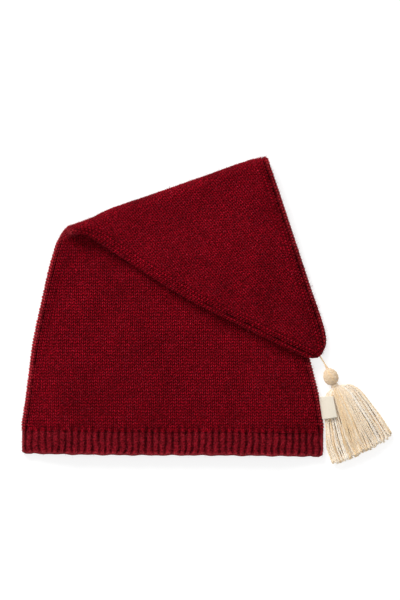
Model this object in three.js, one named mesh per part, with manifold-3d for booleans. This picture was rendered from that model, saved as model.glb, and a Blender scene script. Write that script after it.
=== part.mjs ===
// A child's long pointed knit hat, laid flat with its top folded over the front.
//
// The body is one flattened tube that narrows to a point. It is worked out flat first, by its rise
// above the hem, and then laid over itself round a slanting fold. Millimetres, +Z up, +X to the
// right seen from above, +Y from the hem to the fold, origin on the floor under the body.

import * as THREE from "three";
import { mergeVertices } from "three/addons/utils/BufferGeometryUtils.js";
import Module from "manifold-3d";

const { clamp, degToRad, lerp, smoothstep } = THREE.MathUtils;

// Driving dimensions of the knitted body
const WALL = 2.4; // thickness of the knit
const SEAM_GAP = 0.3; // between pieces that meet
const EDGE_RADIUS = 3.2; // round of the tube's side edges
const EDGE_SHARE = 0.45; // near the point the round is this share of the half width
const LEAST_INNER_RADIUS = 0.2;
const OPEN_HEIGHT = 11; // height of the lying tube at its middle
const FLAP_HEIGHT = 8.8; // height of the flap at its middle
const SWELL = 36; // distance in from an edge over which the tube gains its height
const ORIGIN_RISE = 80; // the origin lies this far above the hem's edge
const HEM_LIFT_LEFT = 1.4; // the hem's corners lie this far off its middle line
const HEM_LIFT_RIGHT = -1.3;
const HEM_LIFT_FADE = 60;

// How far the flat tube reaches to each side of its axis at each rise above the hem's edge
const OUTLINE = [
  { rise: 0, left: 115.2, right: 114.9 },
  { rise: 19, left: 114.7, right: 115.2 },
  { rise: 43, left: 111.7, right: 111.6 },
  { rise: 80, left: 106.8, right: 103 },
  { rise: 117, left: 99.4, right: 97.5 },
  { rise: 153, left: 90.8, right: 91 },
  { rise: 198, left: 75.6, right: 80 },
  { rise: 236, left: 62.4, right: 68.6 },
  { rise: 284, left: 44.6, right: 51.3 },
  { rise: 332, left: 22.4, right: 33.6 },
  { rise: 364, left: 7.2, right: 21.9 },
  { rise: 374.5, left: 1.4, right: 15.4 },
  { rise: 378.5, left: -3.8, right: 8.2 },
];

// The fold: a line across the flat tube, and the round that the knit takes over it, which is
// wider and thicker at its left end, where the edges stand up round a soft pocket
const FOLD_POINT = new THREE.Vector2(-52.2, 185.7);
const FOLD_ANGLE = degToRad(19.3);
const FOLD_RADIUS = 8;
const FOLD_END = { extra: 2.5, full: -25, faded: 30, thicken: 0.8 };
const FOLD_BULGE = { rise: 189, spread: 7, out: 4.8 }; // the left edge swells as it leaves the fold
// The share by which the round reaches less far at the ends of the fold, and the distances along
// the fold where it does so in full and where not at all
const FOLD_SLUMP = [
  { share: 0.18, full: -14, gone: 8 },
  { share: 0.16, full: 131, gone: 117 },
];
const FOLD_NEUTRAL = 1.5; // the length of knit in the fold is measured this far in from its outside
const FOLD_PINCH = 50; // the body thins to the fold over this distance
const FLAP_SETTLE = 85; // the flap comes down on the body over this distance
const FLAP_CLEARANCE = 1; // between the flap and the body under it
const FLAP_GIVE = 0.6; // the most of that clearance that is lost while the flap comes down
const FLAP_DROOP = 18; // the flap sinks to the floor over this distance past the body's edge
const BISECTIONS = 40; // halvings in the search for where an edge reaches the fold
const MERGE_WITHIN = 1e-4;

// Rib band round the mouth
const RIBS_EACH_SIDE = 46;
const RIB_TOP = 17.5;
const RIB_DEPTH = 0.8;
const RIB_WALL = 2;
const HEM_ROUND = 1.4; // the cast-on edge is rounded over this rise
const HEM_INSET = 0.5;

// Points across one face of the tube, counted in from each round edge: the distance in from the
// round, the most of the half width that it may take, and how deep the knit lies below the face.
// The third is the line of decreases beside the seam.
const ACROSS = [
  { inset: 0, share: 0, dip: 0 },
  { inset: 1.1, share: 0.1, dip: 0 },
  { inset: 2, share: 0.18, dip: 0.6 },
  { inset: 3.2, share: 0.26, dip: 0 },
  { inset: 11, share: 0.42, dip: 0 },
  { inset: 19, share: 0.56, dip: 0 },
  { inset: 28, share: 0.7, dip: 0 },
  { inset: 38, share: 0.82, dip: 0 },
  { inset: 64, share: 0.92, dip: 0 },
];
const EDGE_TURNS = [0, 30, 60]; // degrees round the edge, from the seam up to the face

// Rows of the tube. Below and past the fold they lie along it, by their distance round it.
const BODY_ROWS = [
  { left: 17.8, right: 17.8 },
  { left: 42, right: 42 },
  { left: 70, right: 78 },
  { left: 96, right: 116 },
];
const ROWS_BEFORE_FOLD = [-50, -38, -26, -13];
const FOLD_STEPS = 6;
const ROWS_PAST_FOLD = [7, 15, 24, 34, 50];
const TIP_STEPS = 6;
const TIP_RISE = 350;
const TIP_ROWS = [360, 368, 374.5, 378.5];

// Tassel, in its own frame: y runs from the neck to the skirt's end, z up from the floor
const TASSEL_NECK = new THREE.Vector3(123.3, 53, 0);
const TASSEL_ANGLE = degToRad(-156.5);
const HEAD_RADII = new THREE.Vector3(6, 6.75, 5.6);
const HEAD_CENTRE = new THREE.Vector3(0, -7.5, 5.8);
const NECK_HEIGHT = 5.2;
const NECK_RADIUS = 1.7;
const BINDING = { out: 0.75, along: 1.1, sides: 8, round: 20 };
const HEAD_SEGMENTS = { round: 16, along: 10 };
const CORE_SIDES = 16;

// Locks of yarn laid side by side over the skirt: the turn to each side that they cover, and for
// each its radius, which grows with the skirt's reach, and how far it is sunk in the skirt
const LOCK_SPREAD = degToRad(86);
const LOCK_RADIUS = { least: 0.4, share: 0.12 };
const LOCK_SINK = { sideways: 0.35, down: 0.6 };
const LOCK_SIDES = 7;
const LOCK_STATIONS = [1.6, 3.2, 7, 14, 27, 40];
const LOCK_END = { before: 1.5, narrowing: 0.45 };
const LOCK_ENDS = [51.6, 52.2, 54.2, 53.4, 55.2, 54.4, 56.2, 55, 56, 54.8, 53.6];
const FLOOR_GAP = 0.1;
const SKIRT_SETTLE = 14; // the skirt comes down to the floor over this distance from the neck

// The skirt's reach to each side and half its height at each distance from the neck. Its left
// side, seen with the head up, is the one beside the hat.
const SKIRT = [
  { along: -2.5, left: 1.4, right: 1.4, halfHeight: 1.4 },
  { along: 1.4, left: 1.6, right: 1.6, halfHeight: 1.6 },
  { along: 3.2, left: 6.4, right: 8.6, halfHeight: 3 },
  { along: 7, left: 10.2, right: 12.8, halfHeight: 4 },
  { along: 14, left: 13.6, right: 16.2, halfHeight: 4.5 },
  { along: 27, left: 18, right: 19.3, halfHeight: 4.3 },
  { along: 40, left: 22.4, right: 21.7, halfHeight: 3.7 },
  { along: 50, left: 23, right: 23.6, halfHeight: 2.9 },
];

// Thread from the hat's point to the tassel's head
const THREAD_RADIUS = 0.75;
const THREAD_SIDES = 8;
const THREAD_STEPS = 6;
const THREAD_BOW = new THREE.Vector3(0.2, 0.1, -0.4);
const THREAD_SWING = degToRad(20);
const UP = new THREE.Vector3(0, 0, 1);

// Folded label in the right side seam
const LABEL_THICKNESS = 0.9;
const LABEL_ROOT = { low: [114.1, 27.2], high: [111.7, 44.6] };
const LABEL_END = { low: [125.1, 29], high: [121.9, 45.1] };
const LABEL_ROOT_HEIGHT = 4.2;
const LABEL_END_HEIGHT = 10.6;
const LABEL_BEND = 0.55; // under 1, the label climbs soonest where it leaves the seam
const LABEL_ROWS = 8;
const LABEL_COLUMNS = 3;

const KNIT_RED = 0x650810;
const RIB_RED = 0x5e1017;
const WOOL_CREAM = 0xe0c9a9;
const LABEL_WHITE = 0xebe4d7;

const wasm = await Module();
wasm.setup();

// Value of a table's column at a place between its rows, on a smooth curve through them.
function smoothColumn(table, keyColumn, column, key) {
  const last = table.length - 2;
  const found = table.findIndex((row, i) => i <= last && key <= table[i + 1][keyColumn]);
  const i = found < 0 ? last : found;
  const slope = (j) => {
    const before = table[Math.max(j - 1, 0)];
    const after = table[Math.min(j + 1, last + 1)];
    return (after[column] - before[column]) / (after[keyColumn] - before[keyColumn]);
  };
  const [from, to] = [table[i], table[i + 1]];
  const span = to[keyColumn] - from[keyColumn];
  const t = clamp((key - from[keyColumn]) / span, 0, 1);
  return (
    (2 * t ** 3 - 3 * t ** 2 + 1) * from[column] +
    (t ** 3 - 2 * t ** 2 + t) * span * slope(i) +
    (3 * t ** 2 - 2 * t ** 3) * to[column] +
    (t ** 3 - t ** 2) * span * slope(i + 1)
  );
}

const bulgeAt = (rise) =>
  FOLD_BULGE.out * Math.exp(-(((rise - FOLD_BULGE.rise) / FOLD_BULGE.spread) ** 2));
const reachAt = (side, rise) =>
  side < 0
    ? smoothColumn(OUTLINE, "rise", "left", rise) + bulgeAt(rise)
    : smoothColumn(OUTLINE, "rise", "right", rise);
const halfWidthAt = (rise) => (reachAt(-1, rise) + reachAt(1, rise)) / 2;
const axisAt = (rise) => (reachAt(1, rise) - reachAt(-1, rise)) / 2;

// Where a flat place lies by the fold: along it, past the start of its round (negative on the
// body), and the radius and length of the round there.
const foldAcross = new THREE.Vector2(-Math.sin(FOLD_ANGLE), Math.cos(FOLD_ANGLE));
const foldAlong = new THREE.Vector2(Math.cos(FOLD_ANGLE), Math.sin(FOLD_ANGLE));
function byFold(x, rise) {
  const place = new THREE.Vector2(x, rise).sub(FOLD_POINT);
  const along = place.dot(foldAlong);
  const extra = FOLD_END.extra * (1 - smoothstep(along, FOLD_END.full, FOLD_END.faded));
  const radius = FOLD_RADIUS + extra;
  const past = place.dot(foldAcross) + radius;
  return { along, past, radius, extra, length: Math.PI * (radius - FOLD_NEUTRAL) };
}

// Height of the lying tube at its middle: open on the body, flat in the fold, fuller on the flap.
function middleHeight({ past, extra, length }) {
  const flat = 2 * EDGE_RADIUS + FOLD_END.thicken * extra;
  if (past < 0) return lerp(OPEN_HEIGHT, flat, smoothstep(past, -FOLD_PINCH, 0));
  return lerp(flat, FLAP_HEIGHT, smoothstep(past, length, length + FLAP_SETTLE));
}

// Height of the tube's upper face at a distance in from its round edge.
function faceHeight(inset, edgeRadius, fold) {
  const swell = smoothstep(inset, 0, SWELL) * (edgeRadius / EDGE_RADIUS);
  return 2 * edgeRadius + (middleHeight(fold) - 2 * EDGE_RADIUS) * swell;
}

// Height at which the flap comes to lie: on the body, or lower past the body's edge.
function restHeight(x, rise) {
  const inset = halfWidthAt(rise) - Math.abs(x - axisAt(rise)) - EDGE_RADIUS;
  if (inset > 0) return faceHeight(inset, EDGE_RADIUS, byFold(x, rise)) + FLAP_CLEARANCE;
  return 2 * EDGE_RADIUS * (1 - smoothstep(-inset, 0, FLAP_DROOP)) + FLAP_CLEARANCE;
}

// Share by which the fold's round reaches less far at a distance along it.
function slumpAt(along) {
  return FOLD_SLUMP.reduce((sum, { share, full, gone }) => {
    const t = clamp((along - full) / (gone - full), 0, 1);
    return sum + share * (1 - t * t * (3 - 2 * t));
  }, 0);
}

// A point of the flat tube, laid over the fold: round it on an arc, and then back over the body,
// where the upper face turns down and lies on the body. Where the body swells faster than the
// flap comes down, the flap keeps the rest of its clearance.
function layOver(x, rise, height, edgeRadius, thickness) {
  const { along, past, radius, length } = byFold(x, rise);
  if (past <= 0) {
    const corner = (x < 0 ? HEM_LIFT_LEFT : HEM_LIFT_RIGHT) * (x / OUTLINE[0].left) ** 2;
    return new THREE.Vector3(x, rise + corner * (1 - smoothstep(rise, 0, HEM_LIFT_FADE)), height);
  }
  const arm = radius - height;
  const turn = Math.PI * Math.min(past / length, 1);
  const beyond = Math.max(past - length, 0);
  const slump = slumpAt(along);
  const across = -radius + arm * Math.sin(turn) * (1 - slump) - beyond;
  const place = FOLD_POINT.clone()
    .addScaledVector(foldAlong, along)
    .addScaledVector(foldAcross, across);
  const round = radius - arm * Math.cos(turn);
  const lying = restHeight(place.x, place.y) + EDGE_RADIUS - edgeRadius + thickness - height;
  const above = (round - lying) * (1 - smoothstep(beyond, 0, FLAP_SETTLE));
  const kept = above < 0 && beyond > 0 ? FLAP_GIVE * Math.expm1(above / FLAP_GIVE) : above;
  return new THREE.Vector3(place.x, place.y, lying + kept);
}

// Rise at which the tube's left or right edge reaches a stage of the fold: under 0 the distance
// before it, up to 1 the share of its round, and above 1 the distance beyond it plus 1.
function edgeRise(side, stage) {
  let [low, high] = [OUTLINE[1].rise, OUTLINE.at(-1).rise];
  for (let i = 0; i < BISECTIONS; i++) {
    const middle = (low + high) / 2;
    const { past, length } = byFold(side * reachAt(side, middle), middle);
    const reached = past < 0 ? past : Math.min(past / length, 1) + Math.max(past - length, 0);
    if (reached < stage) low = middle;
    else high = middle;
  }
  return low;
}

function tubeRows() {
  const foldRow = (stage) => ({ left: edgeRise(-1, stage), right: edgeRise(1, stage) });
  const rows = [...BODY_ROWS, ...ROWS_BEFORE_FOLD.map(foldRow)];
  for (let i = 0; i <= FOLD_STEPS; i++) rows.push(foldRow(i / FOLD_STEPS));
  rows.push(...ROWS_PAST_FOLD.map((distance) => foldRow(1 + distance)));
  const { left, right } = rows.at(-1);
  for (let i = 1; i <= TIP_STEPS; i++) {
    const share = i / TIP_STEPS;
    rows.push({ left: lerp(left, TIP_RISE, share), right: lerp(right, TIP_RISE, share) });
  }
  rows.push(...TIP_ROWS.map((rise) => ({ left: rise, right: rise })));
  return rows;
}

// Places across one face from the left seam to the right: side, turn round the edge, or inset.
function columnsAcross() {
  const half = (side) => [
    ...EDGE_TURNS.map((turn) => ({ ...ACROSS[0], side, turn: degToRad(turn) })),
    ...ACROSS.map((column) => ({ ...column, side, turn: Math.PI / 2 })),
  ];
  const middle = { side: 1, turn: Math.PI / 2, inset: Infinity, share: 1, dip: 0 };
  return [...half(-1), middle, ...half(1).reverse()];
}

// Outer and inner point of the knit at one row and column, on the upper or the lower face. Half
// the seam's gap to each side of the edge's middle parts the two faces.
function wallPoints(row, column, upper) {
  const middleWidth = halfWidthAt((row.left + row.right) / 2);
  const shareIn = Math.min(column.inset, column.share * middleWidth) / middleWidth;
  const rise = lerp(row.left, row.right, (1 + column.side * (1 - shareIn)) / 2);
  const halfWidth = halfWidthAt(rise);
  const edgeRadius = Math.min(EDGE_RADIUS, EDGE_SHARE * halfWidth);
  const flat = halfWidth - edgeRadius;
  const inset = Math.min(column.inset, column.share * flat);
  const axis = axisAt(rise);
  const fold = byFold(axis + column.side * (flat - inset), rise);
  const height = faceHeight(inset, edgeRadius, fold);
  const parting = SEAM_GAP / 2;
  const dip = column.dip * (edgeRadius / EDGE_RADIUS);
  const innerRadius = Math.max(edgeRadius - WALL, LEAST_INNER_RADIUS);
  const outerX = axis + column.side * (flat - inset + edgeRadius * Math.cos(column.turn));
  const innerX = axis + column.side * (flat - inset + innerRadius * Math.cos(column.turn));
  const reach = (upper ? height - edgeRadius : edgeRadius) - parting;
  const level = (depth) => {
    const fromParting = parting + Math.max(reach - depth, 0) * Math.sin(column.turn);
    return edgeRadius + (upper ? fromParting : -fromParting);
  };
  return {
    outer: layOver(outerX, rise, level(dip), edgeRadius, height),
    inner: layOver(innerX, rise, level(WALL), edgeRadius, height),
  };
}

// One closed body from grids of points that follow each other round it: every grid row is a list
// of points, rows join to the next row, and an open end is closed by a fan.
function skin(rows, { closedAcross = true, closedAlong = false } = {}) {
  const count = rows[0].length;
  const positions = rows.flat().flatMap((p) => [p.x, p.y, p.z]);
  const indices = [];
  const at = (i, j) => (i % rows.length) * count + (j % count);
  const lastRow = closedAlong ? rows.length : rows.length - 1;
  const lastColumn = closedAcross ? count : count - 1;
  for (let i = 0; i < lastRow; i++) {
    for (let j = 0; j < lastColumn; j++) {
      indices.push(at(i, j), at(i, j + 1), at(i + 1, j + 1));
      indices.push(at(i, j), at(i + 1, j + 1), at(i + 1, j));
    }
  }
  if (!closedAlong) {
    for (let j = 1; j < count - 1; j++) {
      indices.push(at(0, 0), at(0, j + 1), at(0, j));
      indices.push(at(rows.length - 1, 0), at(rows.length - 1, j), at(rows.length - 1, j + 1));
    }
  }
  const geometry = new THREE.BufferGeometry();
  geometry.setAttribute("position", new THREE.Float32BufferAttribute(positions, 3));
  geometry.setIndex(indices);
  return geometry;
}

// Closed wall between an outer and an inner grid: each row runs out along the outer face and back
// along the inner, and the first and last rows are closed by strips between the two.
function wallSkin(outer, inner) {
  const loops = outer.map((row, i) => [...row, ...[...inner[i]].reverse()]);
  const geometry = skin(loops);
  const count = loops[0].length;
  const half = count / 2;
  const strips = [];
  const end = (loops.length - 1) * count;
  for (let j = 0; j < half - 1; j++) {
    const mate = count - 1 - j;
    strips.push(j, mate, mate - 1, j, mate - 1, j + 1);
    strips.push(end + j, end + mate - 1, end + mate, end + j, end + j + 1, end + mate - 1);
  }
  const sides = Array.from(geometry.index.array).slice(0, (loops.length - 1) * count * 6);
  geometry.setIndex([...sides, ...strips]);
  return geometry;
}

function solidOf(geometry) {
  return new wasm.Manifold(
    new wasm.Mesh({
      numProp: 3,
      vertProperties: geometry.attributes.position.array,
      triVerts: new Uint32Array(geometry.index.array),
    }),
  );
}

// The same closed surface with its faces outwards
function turnedOut(geometry) {
  if (solidOf(geometry).volume() < 0) {
    geometry.setIndex(Array.from(geometry.index.array).reverse());
  }
  return geometry;
}

function panelGeometry(upper) {
  const columns = columnsAcross();
  const points = tubeRows().map((row) => columns.map((column) => wallPoints(row, column, upper)));
  return turnedOut(
    wallSkin(
      points.map((row) => row.map((p) => p.outer)),
      points.map((row) => row.map((p) => p.inner)),
    ),
  );
}

// Point of the flattened loop round the mouth at a share of its girth, counted from the left seam
// over the upper face, with the direction that points out of the tube there.
function mouthPoint(share, rise) {
  const halfWidth = halfWidthAt(rise);
  const flat = halfWidth - EDGE_RADIUS;
  const girth = 4 * flat + 2 * Math.PI * EDGE_RADIUS;
  const half = girth / 2;
  const quarterTurn = (Math.PI * EDGE_RADIUS) / 2;
  const run = (share * girth) % half;
  const upper = (share * girth) % girth < half;
  const fromSide = run < half / 2 ? run : half - run;
  const firstSide = run < half / 2 ? -1 : 1;
  const side = upper ? firstSide : -firstSide;
  const sign = upper ? 1 : -1;
  if (fromSide < quarterTurn) {
    const turn = fromSide / EDGE_RADIUS;
    const out = new THREE.Vector3(side * Math.cos(turn), 0, sign * Math.sin(turn));
    const centre = new THREE.Vector3(side * flat, rise, EDGE_RADIUS);
    return { place: centre.addScaledVector(out, EDGE_RADIUS), out };
  }
  const inset = fromSide - quarterTurn;
  const height = upper ? faceHeight(inset, EDGE_RADIUS, byFold(0, rise)) : 0;
  return {
    place: new THREE.Vector3(side * (flat - inset), rise, height),
    out: new THREE.Vector3(0, 0, sign),
  };
}

// The rib band: a closed ring whose wall goes out and in once for each rib. Its rows run up the
// outside and down the inside.
function ribHemGeometry() {
  const ribs = 2 * RIBS_EACH_SIDE;
  const [groove, ...crown] = [0, 0.3, 0.7];
  const offsets = [
    { place: groove, dip: RIB_DEPTH },
    ...crown.map((place) => ({ place, dip: 0 })),
  ];
  const rows = [
    { rise: 0, depth: HEM_INSET },
    { rise: HEM_ROUND, depth: 0 },
    { rise: RIB_TOP, depth: 0 },
    { rise: RIB_TOP, depth: RIB_WALL },
    { rise: HEM_ROUND, depth: RIB_WALL },
    { rise: 0, depth: RIB_WALL - HEM_INSET },
  ];
  const ring = (row) =>
    Array.from({ length: ribs }, (_, rib) =>
      offsets.map((offset) => {
        const { place, out } = mouthPoint((rib + offset.place) / ribs, row.rise);
        place.addScaledVector(out, -row.depth - offset.dip);
        return layOver(place.x + axisAt(row.rise), place.y, place.z);
      }),
    ).flat();
  return turnedOut(skin(rows.map(ring), { closedAlong: true }));
}

// A three.js shape with its seams and poles merged, so that it is one closed surface
function closedUp(geometry) {
  geometry.deleteAttribute("normal");
  geometry.deleteAttribute("uv");
  return turnedOut(mergeVertices(geometry, MERGE_WITHIN));
}

function geometryOf(solid) {
  const mesh = solid.getMesh();
  const geometry = new THREE.BufferGeometry();
  geometry.setAttribute("position", new THREE.BufferAttribute(mesh.vertProperties, 3));
  geometry.setIndex(new THREE.BufferAttribute(mesh.triVerts, 1));
  return geometry;
}

function circle(sides, radius) {
  return Array.from({ length: sides }, (_, i) => {
    const turn = (2 * Math.PI * i) / sides;
    return new THREE.Vector2(radius * Math.cos(turn), radius * Math.sin(turn));
  });
}

// Ring of points that stands across the tassel: an upright ellipse with a reach of its own to
// each side
function ellipseRing(centre, reachOf, halfHeight, sides) {
  return circle(sides, 1).map((p) => {
    const across = reachOf(p.x) * p.x;
    return new THREE.Vector3(centre.x + across, centre.y, centre.z + halfHeight * p.y);
  });
}

const skirtReachAt = (side, along) => smoothColumn(SKIRT, "along", side > 0 ? "left" : "right", along);
const skirtHeightAt = (along) => smoothColumn(SKIRT, "along", "halfHeight", along);

// Height of the skirt's middle: at the neck it is the neck's, and further out the skirt lies on
// the floor.
function skirtMiddle(along) {
  return lerp(NECK_HEIGHT, skirtHeightAt(along) + 2 * FLOOR_GAP, smoothstep(along, 0, SKIRT_SETTLE));
}

function skirtCore() {
  const rings = SKIRT.map(({ along, left, right, halfHeight }) => {
    const centre = new THREE.Vector3(0, along, skirtMiddle(along));
    return ellipseRing(centre, (side) => (side > 0 ? left : right), halfHeight, CORE_SIDES);
  });
  return turnedOut(skin(rings));
}

// One lock of yarn: a round strand that widens with the skirt and follows its outside at the
// lock's own turn round it, down to the lock's own end, where it narrows.
function lockOfYarn(end, index) {
  const turn = lerp(-LOCK_SPREAD, LOCK_SPREAD, index / (LOCK_ENDS.length - 1));
  const rings = [...LOCK_STATIONS, end - LOCK_END.before, end].map((along) => {
    const onSkirt = Math.min(along, SKIRT.at(-1).along);
    const reach = skirtReachAt(Math.sin(turn), onSkirt);
    const full = LOCK_RADIUS.least + LOCK_RADIUS.share * reach;
    const radius = along === end ? full * LOCK_END.narrowing : full;
    const outward = reach - LOCK_SINK.sideways * full;
    const upward = skirtHeightAt(onSkirt) - LOCK_SINK.down * full;
    const height = Math.max(skirtMiddle(onSkirt) + Math.cos(turn) * upward, radius + FLOOR_GAP);
    const centre = new THREE.Vector3(Math.sin(turn) * outward, along, height);
    return ellipseRing(centre, () => radius, radius, LOCK_SIDES);
  });
  return turnedOut(skin(rings));
}

// Round head, neck and skirt as one solid of yarn
function tasselGeometry() {
  const head = new THREE.SphereGeometry(1, HEAD_SEGMENTS.round, HEAD_SEGMENTS.along);
  head.scale(...HEAD_RADII.toArray());
  head.translate(...HEAD_CENTRE.toArray());
  const tassel = LOCK_ENDS.reduce(
    (joined, end, index) => joined.add(solidOf(lockOfYarn(end, index))),
    solidOf(closedUp(head)).add(solidOf(skirtCore())),
  );
  return geometryOf(tassel);
}

// Yarn wound round the neck, as a round band that clears it
function bindingGeometry() {
  const radius = NECK_RADIUS + SEAM_GAP + BINDING.out;
  const { out, along, sides, round } = BINDING;
  const section = circle(sides, 1).map((p) => new THREE.Vector2(radius + out * p.x, along * p.y));
  const band = new THREE.LatheGeometry([...section, section[0].clone()], round);
  band.translate(0, 0, NECK_HEIGHT);
  return closedUp(band);
}

// Thread from just clear of the hat's point to just clear of the head
function threadGeometry() {
  const { rise, left, right } = OUTLINE.at(-1);
  const edgeRadius = EDGE_SHARE * ((left + right) / 2);
  const point = layOver((right - left) / 2, rise, edgeRadius, edgeRadius, 2 * edgeRadius);
  const headTop = new THREE.Vector3(0, HEAD_CENTRE.y - HEAD_RADII.y - SEAM_GAP, HEAD_CENTRE.z)
    .applyAxisAngle(UP, TASSEL_ANGLE)
    .add(TASSEL_NECK);
  const away = new THREE.Vector3(foldAlong.y, -foldAlong.x, 0).applyAxisAngle(UP, THREAD_SWING);
  const start = point.addScaledVector(away, SEAM_GAP);
  const middle = start.clone().lerp(headTop, 0.5).add(THREAD_BOW);
  const route = new THREE.CatmullRomCurve3([start, middle, headTop]);
  const section = new THREE.Shape(circle(THREAD_SIDES, THREAD_RADIUS));
  return new THREE.ExtrudeGeometry(section, { steps: THREAD_STEPS, extrudePath: route });
}

// The label leaves the seam level with it and bends up over the tassel's skirt: outward it runs
// from root to end, upward from its low to its high corners.
function labelGeometry() {
  const edge = ({ low, high }, up) => new THREE.Vector2(...low).lerp(new THREE.Vector2(...high), up);
  const place = (outward, up, lift) => {
    const plan = edge(LABEL_ROOT, up).lerp(edge(LABEL_END, up), outward);
    const climb = Math.sin((Math.PI / 2) * outward ** LABEL_BEND);
    return new THREE.Vector3(plan.x, plan.y, lerp(LABEL_ROOT_HEIGHT, LABEL_END_HEIGHT, climb) + lift);
  };
  const face = (lift) =>
    Array.from({ length: LABEL_ROWS + 1 }, (_, i) =>
      Array.from({ length: LABEL_COLUMNS + 1 }, (_, j) =>
        place(i / LABEL_ROWS, j / LABEL_COLUMNS, lift),
      ),
    );
  return turnedOut(wallSkin(face(LABEL_THICKNESS / 2), face(-LABEL_THICKNESS / 2)));
}

function piece(name, geometry, color, roughness = 0.95) {
  const material = new THREE.MeshStandardMaterial({ color, roughness, metalness: 0 });
  const mesh = new THREE.Mesh(geometry, material);
  mesh.name = name;
  return mesh;
}

const hat = new THREE.Group();
hat.position.y = -ORIGIN_RISE;
hat.add(piece("back_panel", panelGeometry(false), KNIT_RED));
hat.add(piece("front_panel", panelGeometry(true), KNIT_RED));
hat.add(piece("rib_hem", ribHemGeometry(), RIB_RED));
hat.add(piece("hanging_thread", threadGeometry(), WOOL_CREAM));
hat.add(piece("side_label", labelGeometry(), LABEL_WHITE, 0.8));

const hangingTassel = new THREE.Group();
hangingTassel.position.copy(TASSEL_NECK);
hangingTassel.rotation.z = TASSEL_ANGLE;
hangingTassel.add(piece("tassel", tasselGeometry(), WOOL_CREAM));
hangingTassel.add(piece("neck_binding", bindingGeometry(), WOOL_CREAM));
hat.add(hangingTassel);

export default hat;
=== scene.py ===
"""A child's long pointed knit hat in dark red wool, laid flat with its top folded over the front.

The two panels and the rib are knitted stitch by stitch on the flattened tube of the hat, which is
then laid over its slanting fold. The tassel is spun from separate strands of yarn.
Lengths are in metres, +X to the right and +Y from the hem to the fold seen from above, +Z up.
"""

import bpy
import numpy as np
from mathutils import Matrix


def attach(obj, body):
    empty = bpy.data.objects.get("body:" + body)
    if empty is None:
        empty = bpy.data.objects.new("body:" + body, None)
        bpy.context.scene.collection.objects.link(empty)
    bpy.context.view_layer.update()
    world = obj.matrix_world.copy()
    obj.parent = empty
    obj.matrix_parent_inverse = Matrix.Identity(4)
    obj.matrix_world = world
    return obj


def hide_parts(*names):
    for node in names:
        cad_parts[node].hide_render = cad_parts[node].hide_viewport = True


MM = 0.001

# The flattened tube: its reach to each side of its axis at each rise above the hem's edge
OUTLINE = {
    "rise": np.array([0, 19, 43, 80, 117, 153, 198, 236, 284, 332, 364, 374.5, 378.5]) * MM,
    "left": np.array([115.2, 114.7, 111.7, 106.8, 99.4, 90.8, 75.6, 62.4, 44.6, 22.4, 7.2, 1.4, -3.8]) * MM,
    "right": np.array([114.9, 115.2, 111.6, 103, 97.5, 91, 80, 68.6, 51.3, 33.6, 21.9, 15.4, 8.2]) * MM,
}
WALL = 2.4 * MM  # thickness of the knit
SEAM_GAP = 0.3 * MM  # between pieces that meet
EDGE_RADIUS = 3.2 * MM  # round of the tube's side edges
EDGE_SHARE = 0.45  # near the point the round is this share of the half width
LEAST_INNER_RADIUS = 0.2 * MM
OPEN_HEIGHT = 11 * MM  # height of the lying tube at its middle
FLAP_HEIGHT = 8.8 * MM  # height of the flap at its middle
SWELL = 36 * MM  # distance in from an edge over which the tube gains its height
ORIGIN_RISE = 80 * MM  # the origin lies this far above the hem's edge
HEM_LIFT_LEFT = 1.4 * MM  # the hem's corners lie this far off its middle line
HEM_LIFT_RIGHT = -1.3 * MM
HEM_LIFT_FADE = 60 * MM

# The fold: a line across the flat tube, and the round that the knit takes over it
FOLD_POINT = np.array([-52.2, 185.7]) * MM
FOLD_ANGLE = np.radians(19.3)
FOLD_ALONG = np.array([np.cos(FOLD_ANGLE), np.sin(FOLD_ANGLE)])
FOLD_ACROSS = np.array([-np.sin(FOLD_ANGLE), np.cos(FOLD_ANGLE)])
FOLD_RADIUS = 8 * MM
FOLD_END_EXTRA = 2.5 * MM  # added to the round's radius at the left end of the fold
FOLD_END_FULL = -25 * MM  # distances along the fold where the extra is full and where it is gone
FOLD_END_GONE = 30 * MM
FOLD_END_THICKEN = 0.8
# The share by which the round reaches less far at the ends of the fold, and the distances along
# the fold where it does so in full and where not at all
FOLD_SLUMP = ((0.18, -14 * MM, 8 * MM), (0.16, 131 * MM, 117 * MM))
FOLD_BULGE_RISE = 189 * MM  # the left edge swells here, where it leaves the fold
FOLD_BULGE_SPREAD = 7 * MM
FOLD_BULGE_OUT = 4.8 * MM
FOLD_NEUTRAL = 1.5 * MM  # the knit's length in the fold is measured this far in from its outside
FOLD_PINCH = 50 * MM  # the body thins to the fold over this distance
FLAP_SETTLE = 85 * MM  # the flap comes down on the body over this distance
FLAP_CLEARANCE = 1 * MM
FLAP_GIVE = 0.6 * MM  # the most of that clearance that is lost while the flap comes down
FLAP_DROOP = 18 * MM  # the flap sinks to the floor over this distance past the body's edge

# The stitches
WALE = 3.2 * MM  # width of a stitch
EDGE_WALE = 2.9 * MM  # width of a stitch in the bands that run along the seams
EDGE_WALES = 4
COURSES = 158  # rows of stitches from the rib to the point
WIDEST_HALF = 33  # stitches from the axis to the band in the widest row
ACROSS = 2 * EDGE_WALES + 2 * WIDEST_HALF
STITCH_ROWS = 4  # points up a stitch that shows
STITCH_COLUMNS = 6  # points across it
ROWS, COLUMNS = COURSES * STITCH_ROWS, ACROSS * STITCH_COLUMNS
KNIT_FROM = 17.6 * MM  # rises of the panels' first and last row
KNIT_TO = 378.5 * MM
HIDDEN_FROM = 5 * MM  # the knit under the flap shows this far in from the flap's edge

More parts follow.
